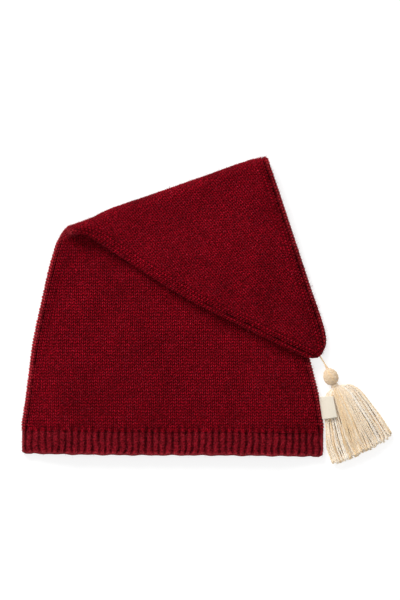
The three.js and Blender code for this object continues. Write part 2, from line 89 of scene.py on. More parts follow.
# Their relief. Strengths are shares of STITCH_DEPTH
STITCH_DEPTH = 0.78 * MM
STITCH_SLANT = 0.6  # how much of a row the legs of a stitch climb from its middle to its side
STITCH_WOBBLE = 0.045  # spread of the stitches' corners across, in stitches
STITCH_HEAVE = 0.05  # spread of the corners up, in rows
STITCH_SPREAD = 0.1  # spread of the stitches' own depth
END_ROWS = 1.5  # over these rows the relief evens out to END_RELIEF at a panel's ends
END_RELIEF = 0.8
FLAP_BLEND = 8 * MM  # half the way over which the fold's knit turns into the flap's
POINT_FROM = 70 * MM  # distances past the fold where the flap's left seam line comes back
POINT_FULL = 105 * MM
SEAM_LINE_AT = 2  # stitches from a seam to the line of dents beside it, and the line's width
SEAM_LINE_WIDTH = 0.2
SCALLOP = 0.25  # each row's swell at the very edge of the body
SCALLOP_REACH = 2.4 * MM
SCALLOP_ROWS = 10  # the swells begin over these rows above the rib
BAND_GAIN = 1.8  # how deep the stitches in the bands are
FIELD_LESS = 0.6  # how much less than that those between the bands are, and further so on the flap
FLAP_LESS = 0.3
FIELD_FROM = 9 * MM  # distances from a seam where the band's depth ends and the rest's begins
FIELD_FULL = 12 * MM
RIDGE = 3.2 * MM  # the band stands this much higher beside the fold's open end
RIM_LIGHT_AND_FUZZ_REACH = 4 * MM  # the painted light along an edge, and its denser loose fibres, reach this far in
FUZZ_AT_EDGE = 9  # how many more loose fibres than elsewhere stand at the outline and in the fold
FUZZ_IN_FOLD = 4
FUZZ_FACE = 1.5e-6  # in square metres: a fibre is rooted in a face smaller than this
FUZZ_ABOVE = 1.5 * MM  # and higher than this over the floor
FUZZ_ROOT = 0.2 * MM  # its root is this far inside the face

# The rib
RIBS = 92
RIB_TOP = 17.55 * MM
RIB_GROOVE = 1.15 * MM
RIB_WALL = 2 * MM
RIB_POINTS = 8  # across a rib
RIB_COURSES = 7.5
RIB_INSET = 0.28 * MM  # the crests lie this far inside the tube's surface
RIB_INNER_ROWS = 9  # rows of points down its inside
RIB_STITCH = 0.5 * MM  # depth of the stitches on the ribs' crests
RIB_LEAN = 0.16  # how far a rib wanders at the hem, in ribs
RIB_UNEVEN = 0.16
CAST_ON = 1.7 * MM  # height of the rolled edge under the ribs
BEAD = 0.45 * MM  # how far that edge stands out
BEAD_TUCK = 0.9 * MM  # how far it rounds in at its foot
HEM_HANG = 0.4 * MM  # how unevenly the edge hangs
HEM_ROUND = 3.5 * MM  # the hem's corners are rounded

# The tassel in its own frame: y runs from the neck to the skirt's end, z up from the floor
TASSEL_NECK = np.array([123.3, 53]) * MM
TASSEL_ANGLE = np.radians(-156.5)
HEAD_RADII = np.array([6, 6.75, 5.6]) * MM
HEAD_CENTRE = np.array([0, -7.5, 5.8]) * MM
HEAD_STRANDS = 28
NECK_HEIGHT = 5.2 * MM
NECK_RADIUS = 1.7 * MM
SKIRT = {
    "along": np.array([-2.5, 1.4, 3.2, 7, 14, 27, 40, 50]) * MM,
    "left": np.array([1.4, 1.6, 6.4, 10.2, 13.6, 18, 22.4, 23]) * MM,
    "right": np.array([1.4, 1.6, 8.6, 12.8, 16.2, 19.3, 21.7, 23.6]) * MM,
    "height": np.array([1.4, 1.6, 3, 4, 4.5, 4.3, 3.7, 2.9]) * MM,
}
SKIRT_START = 2 * MM  # the strands start this far inside the neck
SKIRT_SETTLE = 14 * MM
SKIRT_ENDS = np.array([51.6, 52.2, 54.2, 53.4, 55.2, 54.4, 56.2, 55, 56, 54.8, 53.6]) * MM
SKIRT_LAYERS = ((1.0, 108), (0.86, 88), (0.6, 50))  # share of the skirt's reach, and strands
SKIRT_GROUPS = 30
SKIRT_GROUP_TURN = 0.21  # angle between groups, round the skirt
SKIRT_CROWD = 0.27  # how much closer the strands lie at the skirt's two sides
SKIRT_GATHER = (0.024, 0.014)  # how much they gather in bunches, and how much more at the neck
SKIRT_BUNCH = 0.26  # angle between bunches
SKIRT_SWAY = (0.55 * MM, 0.35 * MM)  # how far their slow waves go aside and up
SKIRT_FRAY = 0.25  # how much thicker they are at their cut ends
YARN_RADIUS = 0.85 * MM
HEAD_YARN_RADIUS = 0.88 * YARN_RADIUS
YARN_TWIST = 5.2 * MM  # length of one turn of the yarn's two plies
HEAD_SLANT = 0.25  # angle by which the head's strands lean
WINDING_TURNS = 3.2  # of the yarn round the neck
WINDING_RADIUS = 0.42 * MM
WINDING_LIFT = 0.55 * MM  # its centre line's height over the neck, and how far its ends sink
WINDING_SINK = 0.5 * MM
WINDING_TWIST = 3 * MM
WINDING_TONE = 0.5
THREAD_RADIUS = 0.68 * MM
THREAD_SWELL = 0.5 * MM  # added to its radius at the head
THREAD_BOW = np.array([0.2, 0.1, -0.4]) * MM
THREAD_TWIST = 2.6 * MM
THREAD_TONE = -0.3

# The label
LABEL_THICKNESS = 0.9 * MM
LABEL_TAPE = 0.34 * MM  # thickness of each of its two layers
LABEL_ROOT = np.array([[114.1, 27.2], [111.7, 44.6]]) * MM
LABEL_END = np.array([[125.1, 29], [121.9, 45.1]]) * MM
LABEL_ROOT_HEIGHT = 4.2 * MM
LABEL_END_HEIGHT = 10.6 * MM
LABEL_BEND = 0.55
LABEL_CURL = 0.25 * MM
LABEL_WIDTH = 17.5 * MM

# Colours, the dark and the light of each yarn, and the finish of each
KNIT_REDS = (0.06, 0.0004, 0.001), (0.268, 0.002, 0.0098)
KNIT_FLECK = (0.46, 0.055, 0.115)
RIB_REDS = (0.05, 0.001, 0.002), (0.19, 0.0048, 0.0115)
RIB_FLECK = (0.44, 0.055, 0.085)
# the pinker red of the painted light along the outline
RIM_LIGHT_RED = (0.55, 0.13, 0.13)
FIBRE_REDS = (0.16, 0.003, 0.007), (0.42, 0.03, 0.05)
CREAMS = (0.84, 0.59, 0.34), (1.0, 0.88, 0.73)
# painted shade: the darker tan that the tassel's head is mixed towards, as it takes more light than the
# skirt
HEAD_SHADE_CREAM = (0.72, 0.58, 0.45)
# the tape's dark and light, for painted shade where its threads dip and painted light where they rise
TAPE_CREAMS = (0.62, 0.55, 0.43), (0.76, 0.7, 0.6)
WHITE = (1.0, 1.0, 1.0)
KNIT_FINISH = {
    "Roughness": 0.95,
    "Specular IOR Level": 0.03,
    "Sheen Weight": 0.13,
    "Sheen Tint": (1.0, 0.2, 0.27),
    "Sheen Roughness": 0.35,
}
YARN_FINISH = {"Roughness": 0.9, "Specular IOR Level": 0.05, "Sheen Weight": 0.25}
FIBRE_FINISH = {"Sheen Tint": (1.0, 0.1, 0.14)}
CREAM_FINISH = {
    "Sheen Tint": (1.0, 0.93, 0.82),
    "Subsurface Weight": 0.4,
    "Subsurface Scale": 1.2 * MM,
    "Subsurface Radius": (1.0, 0.9, 0.75),
}
TAPE_FINISH = {"Roughness": 0.75, "Specular IOR Level": 0.3, "Sheen Weight": 0.1}

# The photograph: its frame, the pixel at the middle of the hem and the size of a pixel there
PHOTO_SIZE = (400, 600)
PIXEL = 0.762 * MM
HEM_PIXEL = (172.5, 455)
CAMERA_DISTANCE = 3.0

# The studio
FLOOR_HALF = 3.0
FLOOR_FINISH = {
    "Base Color": (0.31, 0.31, 0.31),
    "Roughness": 0.9,
    "Specular IOR Level": 0.0,
    "Emission Color": WHITE,
    "Emission Strength": 0.745,
}
WORLD_GLOW = 0.56
LAMPS = (("key", (-0.75, 1.5, 1.2), 1.1, 46.0), ("fill", (-0.9, -0.2, 1.8), 1.6, 7.0))
LAMP_AIM = np.array([0.02, 0.04, 0])


def lerp(a, b, t):
    """The value a share t of the way from a to b."""
    return a + (b - a) * t


def smoothstep(x, low, high):
    """0 below low, 1 above high, and 3 t^2 - 2 t^3 of the share between."""
    t = np.clip((x - low) / (high - low), 0, 1)
    return t * t * (3 - 2 * t)


def gauss(x, width):
    """A rounded swell, exp(-(x / width)^2): 1 at 0, and nearly gone two widths away."""
    return np.exp(-((x / width) ** 2))


def unit(vectors):
    """The vectors' directions, at length 1."""
    return vectors / np.linalg.norm(vectors, axis=-1, keepdims=True)


def smooth_column(table, key, column, at):
    """A table's column between its rows: a cubic whose slope at each row is that from the row
    before it to the row after it."""
    keys, values = table[key], table[column]
    last = len(keys) - 1
    after = np.minimum(np.arange(last + 1) + 1, last)
    before = np.maximum(np.arange(last + 1) - 1, 0)
    slopes = (values[after] - values[before]) / (keys[after] - keys[before])
    i = np.clip(np.searchsorted(keys, at) - 1, 0, last - 1)
    span = keys[i + 1] - keys[i]
    t = np.clip((at - keys[i]) / span, 0, 1)
    return (
        (2 * t**3 - 3 * t**2 + 1) * values[i]
        + (t**3 - 2 * t**2 + t) * span * slopes[i]
        + (3 * t**2 - 2 * t**3) * values[i + 1]
        + (t**3 - t**2) * span * slopes[i + 1]
    )


def reach_at(side, rise):
    """How far the tube reaches to one side of its axis. The left edge has a rounded swelling
    where it leaves the fold."""
    if side > 0:
        return smooth_column(OUTLINE, "rise", "right", rise)
    bulge = FOLD_BULGE_OUT * gauss(rise - FOLD_BULGE_RISE, FOLD_BULGE_SPREAD)
    return smooth_column(OUTLINE, "rise", "left", rise) + bulge


def half_width_at(rise):
    """Half the tube's width: the mean of its two reaches."""
    return (reach_at(-1, rise) + reach_at(1, rise)) / 2


def axis_at(rise):
    """Where the tube's middle line is across: half the difference of its two reaches."""
    return (reach_at(1, rise) - reach_at(-1, rise)) / 2


def edge_radius_at(rise):
    """Radius of the round edge, which is less near the point."""
    return np.minimum(EDGE_RADIUS, EDGE_SHARE * half_width_at(rise))


def half_girth_at(rise):
    """Distance over one face from the tube's axis to its seam: the flat part and a quarter turn
    of the round edge."""
    radius = edge_radius_at(rise)
    return half_width_at(rise) - radius + radius * np.pi / 2


def by_fold(x, rise):
    """Where a flat place lies by the fold: along it, past the start of its round (negative on
    the body), and the radius, extra radius and length of the round there."""
    px, py = x - FOLD_POINT[0], rise - FOLD_POINT[1]
    along = px * FOLD_ALONG[0] + py * FOLD_ALONG[1]
    extra = FOLD_END_EXTRA * (1 - smoothstep(along, FOLD_END_FULL, FOLD_END_GONE))
    radius = FOLD_RADIUS + extra
    past = px * FOLD_ACROSS[0] + py * FOLD_ACROSS[1] + radius
    return along, past, radius, extra, np.pi * (radius - FOLD_NEUTRAL)


def on_plan(along, across):
    """Place on the plan at distances along and across the fold's line."""
    return (
        FOLD_POINT[0] + FOLD_ALONG[0] * along + FOLD_ACROSS[0] * across,
        FOLD_POINT[1] + FOLD_ALONG[1] * along + FOLD_ACROSS[1] * across,
    )


def middle_height(x, rise):
    """Height of the lying tube at its middle: open on the body, flat in the fold, and fuller
    again on the flap."""
    _, past, _, extra, length = by_fold(x, rise)
    flat = 2 * EDGE_RADIUS + FOLD_END_THICKEN * extra
    body = lerp(OPEN_HEIGHT, flat, smoothstep(past, -FOLD_PINCH, 0))
    flap = lerp(flat, FLAP_HEIGHT, smoothstep(past, length, length + FLAP_SETTLE))
    return np.where(past < 0, body, flap)


def face_height(inset, edge_radius, x, rise):
    """Height of the upper face at a distance in from the round edge."""
    swell = smoothstep(inset, 0, SWELL) * (edge_radius / EDGE_RADIUS)
    return 2 * edge_radius + (middle_height(x, rise) - 2 * EDGE_RADIUS) * swell


def rest_height(x, rise):
    """Height at which the flap comes to lie: on the body, or lower past the body's edge."""
    inset = half_width_at(rise) - np.abs(x - axis_at(rise)) - EDGE_RADIUS
    on_body = face_height(inset, EDGE_RADIUS, x, rise)
    off_body = 2 * EDGE_RADIUS * (1 - smoothstep(-inset, 0, FLAP_DROOP))
    return np.where(inset > 0, on_body, off_body) + FLAP_CLEARANCE


def lay_over(x, rise, height, edge_radius, thickness):
    """Places of points of the flat tube once it is folded. Before the fold a point stays where
    it is. In the fold it goes round an arc about the fold's axis, and past it it runs back over
    the body, upside down, and comes down to lie on it. above is how far the flap still is over
    where it lies. Under 0, where the body swells into it, it tends to -FLAP_GIVE:
    FLAP_GIVE (exp(above / FLAP_GIVE) - 1)."""
    along, past, radius, _, length = by_fold(x, rise)
    corner = np.where(x < 0, HEM_LIFT_LEFT, HEM_LIFT_RIGHT) * (x / OUTLINE["left"][0]) ** 2
    body_y = rise + corner * (1 - smoothstep(rise, 0, HEM_LIFT_FADE))
    arm = radius - height
    turn = np.pi * np.clip(past / length, 0, 1)
    beyond = np.maximum(past - length, 0)
    slump = sum(share * (1 - smoothstep(along, full, gone)) for share, full, gone in FOLD_SLUMP)
    flap_x, flap_y = on_plan(along, arm * np.sin(turn) * (1 - slump) - radius - beyond)
    round_z = radius - arm * np.cos(turn)
    lying_z = rest_height(flap_x, flap_y) + EDGE_RADIUS - edge_radius + thickness - height
    above = (round_z - lying_z) * (1 - smoothstep(beyond, 0, FLAP_SETTLE))
    kept = FLAP_GIVE * np.expm1(np.minimum(above, 0) / FLAP_GIVE)
    flap_z = lying_z + np.where((above < 0) & (beyond > 0), kept, above)
    folded = past > 0
    places = (
        np.where(folded, flap_x, x),
        np.where(folded, flap_y, body_y) - ORIGIN_RISE,
        np.where(folded, flap_z, height),
    )
    return np.stack(places, -1)


def round_the_edge(from_seam, rise):
    """A point on a face by its distance from the seam: its turn on the round edge, its distance
    in from the round, the edge's radius, and the flat part's half width. Within a quarter turn
    of the seam a point is on the round edge, and further in it is on the face."""
    radius = edge_radius_at(rise)
    turn = np.minimum(from_seam / radius, np.pi / 2)
    inset = np.maximum(from_seam - radius * np.pi / 2, 0)
    return turn, inset, radius, half_width_at(rise) - radius


def on_tube(girth, rise, upper, lift, inner=False):
    """Places on one face of the tube. girth is the distance over the face from the axis, with
    its sign, and lift is how far a point stands out of the knit's mean surface. The inner wall
    lies the knit's thickness inside it."""
    side = np.where(girth < 0, -1.0, 1.0)
    from_seam = np.maximum(half_girth_at(rise) - np.abs(girth), 0)
    turn, inset, radius, flat = round_the_edge(from_seam, rise)
    axis = axis_at(rise)
    height = face_height(inset, radius, axis + side * (flat - inset), rise)
    parting = SEAM_GAP / 2
    reach = np.where(upper, height - radius, radius) - parting
    if inner:
        out = np.maximum(radius - WALL, LEAST_INNER_RADIUS)
        deep = np.maximum(reach - WALL, 0)
    else:
        out = radius + lift
        deep = reach + lift
    from_parting = parting + deep * np.sin(turn)
    level = radius + np.where(upper, from_parting, -from_parting)
    return lay_over(axis + side * (flat - inset + out * np.cos(turn)), rise, level, radius, height)


def folded_deep(x, rise):
    """How far in from the flap's edge a place on the body lies, when the flap covers it: it is
    mirrored in the fold onto the flat tube, and its distance to the tube's edge is taken.
    Negative where the flap doesn't cover it."""
    along, past, radius, _, length = by_fold(x, rise)
    flat_x, flat_rise = on_plan(along, length - past - radius)
    inset = half_width_at(flat_rise) - np.abs(flat_x - axis_at(flat_rise))
    return np.where(flat_rise < KNIT_TO, inset, -1.0)


def grid(rows, columns):
    """Row and column numbers of all the cells of a grid, each as one flat array."""
    i, j = np.meshgrid(np.arange(rows), np.arange(columns), indexing="ij")
    return i.ravel(), j.ravel()


def halves(a, b, c, d):
    """Two triangles for each four-cornered face: a b c and a c d."""
    return np.concatenate([np.stack([a, b, c], 1), np.stack([a, c, d], 1)])


def in_scene(name, data, place=(0, 0, 0)):
    """A new object of the scene."""
    made = bpy.data.objects.new(name, data)
    made.location = place
    bpy.context.scene.collection.objects.link(made)
    return made


def mesh_object(name, material, points, faces, maps=None, values=None, flat=None):
    """A smooth mesh object from arrays of points and triangles. maps gives each UV map a place
    for each corner, values gives each attribute a number for each point, and flat marks the
    faces that aren't smooth. Triangles with a corner twice and points without a triangle are
    left out, and all faces turn round where the volume that they enclose is negative."""
    whole = (faces != np.roll(faces, 1, 1)).all(1)
    maps = {key: corners[whole] for key, corners in (maps or {}).items()}
    smooth = np.ones(whole.sum(), bool) if flat is None else ~flat[whole]
    used, faces = np.unique(faces[whole], return_inverse=True)
    faces, points = faces.reshape(-1, 3), points[used]
    a, b, c = (points[faces[:, i]] for i in range(3))
    if (a * np.cross(b, c)).sum() < 0:
        faces = faces[:, ::-1]
        maps = {key: corners[:, ::-1] for key, corners in maps.items()}
    mesh = bpy.data.meshes.new(name)
    mesh.vertices.add(len(points))
    mesh.vertices.foreach_set("co", points.astype(np.float32).ravel())
    mesh.loops.add(faces.size)
    mesh.loops.foreach_set("vertex_index", faces.astype(np.int32).ravel())
    mesh.polygons.add(len(faces))
    mesh.polygons.foreach_set("loop_start", np.arange(0, faces.size, 3, dtype=np.int32))
    mesh.polygons.foreach_set("use_smooth", smooth)
    mesh.update(calc_edges=True)
    for key, corners in maps.items():
        layer = mesh.uv_layers.new(name=key)
        layer.uv.foreach_set("vector", corners.astype(np.float32).ravel())
    for key, value in (values or {}).items():
        attribute = mesh.attributes.new(key, "FLOAT", "POINT")
        attribute.data.foreach_set("value", value[used].astype(np.float32))
    mesh.validate(clean_customdata=False)
    mesh.materials.append(material)
    return in_scene(name, mesh)


def table_at(table, i, j, t, u):
    """A table at a share t from row i to the next and a share u from column j to the next."""
    low = lerp(table[i, j], table[i, j + 1], u)
    return lerp(low, lerp(table[i + 1, j], table[i + 1, j + 1], u), t)


def patches(noise, table_rows, table_columns, rows, columns):
    """A table of random numbers, read smoothly at row and column shares from 0 to 1."""
    table = noise.standard_normal((table_rows + 2, table_columns + 2))
    r, c = rows * table_rows, columns * table_columns
    i = np.clip(np.floor(r).astype(int), 0, table_rows)
    j = np.clip(np.floor(c).astype(int), 0, table_columns)
    return table_at(table, i, j, smoothstep(r - i, 0, 1), smoothstep(c - j, 0, 1))


def leg_profile(across, up):
    """Height of the knit in a stitch, from 0 to 1. across is 0 at the stitch's middle and 1 at
    its side, up is the share of the row, measured along the legs' slant. A leg is round over its
    thickness and sinks at both its ends, a little deeper at the stitch's side."""
    thick = 0.2 + 0.8 * np.sin(np.pi * up) ** 0.85
    length = 1 - 0.9 * np.abs(2 * across - 1) ** 2.2
    return thick * length - 0.12 * across**5


def ridge_at(girth, rise):
    """Height that the front's left band gains where it turns up into the fold: a round ridge
    along the band, fullest where the fold starts."""
    from_seam = half_girth_at(rise) - np.abs(girth)
    past = by_fold(axis_at(rise) + girth, rise)[1]
    along = smoothstep(past, -45 * MM, -2 * MM) * (1 - smoothstep(past, 15 * MM, 27 * MM))
    across = smoothstep(from_seam, 0, 6 * MM) * (1 - smoothstep(from_seam, 8 * MM, 20 * MM))
    return np.where(girth < 0, RIDGE * along * across, 0)


def rib_fade(girth, rise):
    """How deep the rib's grooves still run in the first rows above it, each to its own height."""
    place = (girth / half_girth_at(rise) + 1) / 2 * RIBS / 2
    crest = np.cos(np.pi * (place % 1 - 0.5)) ** 2
    tall = (6 + 2.5 * np.sin(2.4 * np.round(place)) + 1.5 * np.sin(5.1 * np.round(place))) * MM
    return 0.7 * RIB_GROOVE * (1 - crest) * (1 - smoothstep(rise, KNIT_FROM, KNIT_FROM + tall))


def chart_of(girth, rise, inner=False):
    """Place of a point of a panel on its own map: the panel as it was knitted, point up, with the
    inner wall drawn smaller beside it."""
    u, v = girth / half_girth_at(KNIT_FROM), (rise - KNIT_FROM) / (KNIT_TO - KNIT_FROM)
    places = (0.87 + 0.11 * u, 0.64 + 0.34 * v) if inner else (0.36 + 0.345 * u, 0.015 + 0.97 * v)
    return np.stack(places, -1).reshape(-1, 2)


def stitch_table():
    """The corners of a panel's stitches, row by row: their rises, their distances over the face
    from the axis, which of them have ended, and how many stitches on each side have.

    The stitches of the two bands run along the seams. Those between run up the axis, and a
    stitch whose place is taken by the narrowing band ends there."""
    rise = np.linspace(KNIT_FROM, KNIT_TO, COURSES + 1)
    girth = half_girth_at(rise)
    band = np.minimum(EDGE_WALES * EDGE_WALE, girth)
    taken = np.ceil(WIDEST_HALF + 0.5 - (girth - band) / WALE) - 1
    dropped = np.maximum.accumulate(np.clip(taken, 0, WIDEST_HALF).astype(int))
    k = np.arange(ACROSS + 1)
    in_band = np.minimum(k, ACROSS - k)
    band_place = girth[:, None] - np.minimum(in_band, EDGE_WALES) * (band / EDGE_WALES)[:, None]
    ended = (in_band - EDGE_WALES)[None, :] <= dropped[:, None]
    filled = (dropped[:, None] >= WIDEST_HALF) & (in_band >= EDGE_WALES)
    place = np.where(ended, np.where(filled, 0, band_place), np.abs(k - ACROSS / 2) * WALE)
    place = np.where(k < ACROSS / 2, -1, 1) * place
    place[:, ACROSS // 2] = 0
    return rise, place, ended, dropped


def drawn_at(column, dropped, size):
    """The column at which a stitch's corner is drawn, at size columns a stitch: one that has
    ended is on the band's inner line."""
    low, last = (EDGE_WALES + dropped) * size, ACROSS * size
    between = (column >= EDGE_WALES * size) & (column <= last - EDGE_WALES * size)
    return np.where(between, np.clip(column, low, last - low), column)


def panel_surface(corner_girth, ended, upper, noise):
    """The outside of a panel at all points of its stitches: places, distances over the face from
    the axis, rises, and the values that its material and its loose fibres read.

    Its relief is leg_profile in each stitch, with its own depth and on slow patches, and evens
    out at both ends. The bands are deeper. A line of dents runs along each band two stitches in
    from the seam: on the flap it is strong at the tube's right and weak at its left, but for the
    point. Corners wander less in the three stitches next to the seams. At the very edge of the
    body each row swells a little, sin^2 up the row, and there the flap's relief is weaker. The
    first rows carry on the rib's grooves, and the front's left band has its ridge. cavity is the
    relief again, from -0.4 in the dents to 1.1 on the crests, which the material turns into
    painted shade in the hollows and painted light on the crests; at the seam it is kept at 0.3 or
    more. rim is a swell at the outline, weaker in the fold, which the material turns into painted
    light along the outline. fuzz says how many loose fibres stand where."""
    spread = (COURSES + 1, ACROSS + 1)
    from_side = np.minimum(np.arange(ACROSS + 1), np.arange(ACROSS + 1)[::-1])
    wobble = STITCH_WOBBLE * noise.standard_normal(spread) * WALE
    wobble *= np.minimum(from_side, 3) / 3
    heave = STITCH_HEAVE * noise.standard_normal(spread)
    heave[0] = heave[-1] = 0
    heave[:, [0, -1]] = 0
    size = 1 + STITCH_SPREAD * noise.standard_normal(spread)

    r, q = np.meshgrid(np.arange(ROWS + 1), np.arange(COLUMNS + 1), indexing="ij")
    row, wale = r / STITCH_ROWS, q / STITCH_COLUMNS
    c, w = np.minimum(r // STITCH_ROWS, COURSES - 1), np.minimum(q // STITCH_COLUMNS, ACROSS - 1)
    cell = (c, w, row - c, wale - w)
    from_middle = np.abs(2 * (wale - w) - 1)
    end_fade = np.clip(np.minimum(r, ROWS - r) / (END_ROWS * STITCH_ROWS), 0, 1)
    climb = (STITCH_SLANT * (from_middle - 0.5) + table_at(heave, *cell)) * end_fade
    step = (KNIT_TO - KNIT_FROM) / COURSES
    rise = np.clip(KNIT_FROM + step * (row + climb), KNIT_FROM, KNIT_TO)
    drawn_in = ended[c, w] & ended[c, w + 1] & (w >= EDGE_WALES)
    girth = table_at(corner_girth, *cell) + np.where(drawn_in, 0, table_at(wobble, *cell))
    relief = leg_profile(from_middle, (row + 0.5) % 1) * table_at(size, *cell)
    relief = lerp(END_RELIEF, relief, end_fade)
    soft = 1 + 0.16 * patches(noise, 16, 12, r / ROWS, q / COLUMNS)

    from_seam = half_girth_at(rise) - np.abs(girth)
    _, past, _, _, length = by_fold(axis_at(rise) + girth, rise)
    on_flap = smoothstep(past, length - FLAP_BLEND, length + FLAP_BLEND)
    at_point = smoothstep(past, length + POINT_FROM, length + POINT_FULL)
    dents = gauss(wale - SEAM_LINE_AT, SEAM_LINE_WIDTH) * (1 - 0.85 * on_flap * (1 - 1.6 * at_point))
    dents += gauss(ACROSS - wale - SEAM_LINE_AT, SEAM_LINE_WIDTH) * (1 + on_flap)
    dents *= 0.4 + 0.8 * np.clip(patches(noise, COURSES, 4, r / ROWS, q / COLUMNS) + 0.4, 0, 1)
    uneven = 1 + 0.45 * patches(noise, COURSES // 2, 1, r / ROWS, 0 * q)
    at_edge = gauss(from_seam, SCALLOP_REACH)
    scallop = np.sin(np.pi / 2 * row) ** 2 * uneven - 0.5
    scallop *= at_edge * smoothstep(r, 0, SCALLOP_ROWS * STITCH_ROWS) * (1 - on_flap)
    field = smoothstep(from_seam, FIELD_FROM, FIELD_FULL)
    gain = BAND_GAIN - field * (FIELD_LESS + FLAP_LESS * on_flap) - 0.9 * at_edge * on_flap
    depth = (relief * soft - 0.5) * gain - dents + SCALLOP * scallop
    grooves = rib_fade(girth, rise)
    lift = STITCH_DEPTH * (depth * (edge_radius_at(rise) / EDGE_RADIUS)) - grooves
    if upper:
        lift = lift + ridge_at(girth, rise)

    outer = (girth > 0) | (past < length - 3 * MM)
    in_round = smoothstep(past, 0, 6 * MM) * (1 - smoothstep(past, length - 8 * MM, length))
    # Painted shade in the hollows, the dents and the rib's grooves, and painted light on the crests: the
    # relief again
    relief_shade = np.clip((relief - 0.58) * gain + 0.5 - dents - grooves / RIB_GROOVE, -0.4, 1.1)
    in_fold = (past > 2 * MM) & (past < length - 4 * MM)
    values = {
        # at the seam the painted shade is kept at 0.3 or more, so that the outline isn't painted dark
        "relief_shade": np.maximum(relief_shade, 0.3 * gauss(from_seam, 0.8 * MM)),
        # painted light along the outline, weaker in the fold
        "rim_light": gauss(from_seam, RIM_LIGHT_AND_FUZZ_REACH) * outer * (1 - 0.65 * in_round),
        "fuzz": 1 + FUZZ_AT_EDGE * ((from_seam < RIM_LIGHT_AND_FUZZ_REACH) & outer) + FUZZ_IN_FOLD * in_fold,
    }
    return on_tube(girth, rise, upper, lift), girth, rise, values


def panel_faces(fine, exists, dropped):
    """Triangles of a panel's outside, and the rows and columns of the points round its edge.

    A fine stitch is a grid of points whose halves are split to the two sides of its legs. Any
    other has its four corners and a middle, and takes the points of a fine neighbour on the side
    that they share."""

    def at(row, column):
        """Number of a point, with ended stitches drawn to the band's line."""
        ended = dropped[np.minimum(row // STITCH_ROWS, COURSES)]
        return row * (COLUMNS + 1) + drawn_at(column, ended, STITCH_COLUMNS)

    cell_row, cell_column = (m[:, None] for m in np.nonzero(fine))
    i, j = grid(STITCH_ROWS, STITCH_COLUMNS)
    row = (cell_row * STITCH_ROWS + i).ravel()
    column = (cell_column * STITCH_COLUMNS + j).ravel()
    a, b = at(row, column), at(row, column + 1)
    d, e = at(row + 1, column), at(row + 1, column + 1)
    left = ((column % STITCH_COLUMNS) < STITCH_COLUMNS // 2)[:, None]
    triangles = [
        np.where(left, np.stack([a, b, d], 1), np.stack([a, b, e], 1)),
        np.where(left, np.stack([b, e, d], 1), np.stack([a, e, d], 1)),
    ]

    # Sides between stitches that carry a fine stitch's points: along the rows and up the columns
    flat_side = np.zeros((COURSES + 1, ACROSS), bool)
    flat_side[:-1] |= fine
    flat_side[1:] |= fine
    up_side = np.zeros((COURSES, ACROSS + 1), bool)
    up_side[:, :-1] |= fine
    up_side[:, 1:] |= fine
    # Where stitches have ended, the band's inner line is the side of the first that goes on
    every = np.arange(COURSES)
    for line, band_cell, next_cell, sign in (
        (EDGE_WALES, EDGE_WALES - 1, 0, 1),
        (ACROSS - EDGE_WALES, ACROSS - EDGE_WALES, -1, -1),
    ):
        inner_line = line + sign * dropped[:-1]
        met = fine[:, band_cell] | fine[every, np.clip(inner_line + next_cell, 0, ACROSS - 1)]
        up_side[:, line] = met
        up_side[every, inner_line] = met
    filled = dropped[:-1] >= WIDEST_HALF
    met = fine[:, EDGE_WALES - 1] | fine[:, ACROSS - EDGE_WALES]
    for line in (EDGE_WALES, ACROSS - EDGE_WALES, ACROSS // 2):
        up_side[filled, line] = met[filled]

    cell_row, cell_column = np.nonzero(exists & ~fine)
    row, column = cell_row * STITCH_ROWS, cell_column * STITCH_COLUMNS
    centre = at(row + STITCH_ROWS // 2, column + STITCH_COLUMNS // 2)
    for side, count, row0, column0, row_step, column_step in (
        (flat_side[:-1], STITCH_COLUMNS, 0, 0, 0, 1),
        (up_side[:, 1:], STITCH_ROWS, 0, STITCH_COLUMNS, 1, 0),
        (flat_side[1:], STITCH_COLUMNS, STITCH_ROWS, STITCH_COLUMNS, 0, -1),
        (up_side[:, :-1], STITCH_ROWS, STITCH_ROWS, 0, -1, 0),
    ):
        split = side[cell_row, cell_column]
        for stops, chosen in ((np.arange(count + 1), split), (np.array([0, count]), ~split)):
            for here, there in zip(stops, stops[1:]):
                ends = [
                    at(row[chosen] + row0 + row_step * stop, column[chosen] + column0 + column_step * stop)
                    for stop in (here, there)
                ]
                triangles.append(np.stack([centre[chosen], *ends], 1))

    def shown(count, split, size):
        """Points along an edge: all of a fine stitch's, and else its corners."""
        points = np.arange(count + 1)
        return points[(points % size == 0) | split[np.minimum(points // size, len(split) - 1)]]

    bottom = shown(COLUMNS, flat_side[0], STITCH_COLUMNS)
    top = shown(COLUMNS, flat_side[-1], STITCH_COLUMNS)[::-1]
    right = shown(ROWS, up_side[:, -1], STITCH_ROWS)
    left = shown(ROWS, up_side[:, 0], STITCH_ROWS)[::-1]
    ring_row = np.concatenate([0 * bottom, right, 0 * top + ROWS, left])
    ring_column = np.concatenate([bottom, 0 * right + COLUMNS, top, 0 * left])
    return np.concatenate(triangles), at(ring_row, ring_column), ring_row, ring_column


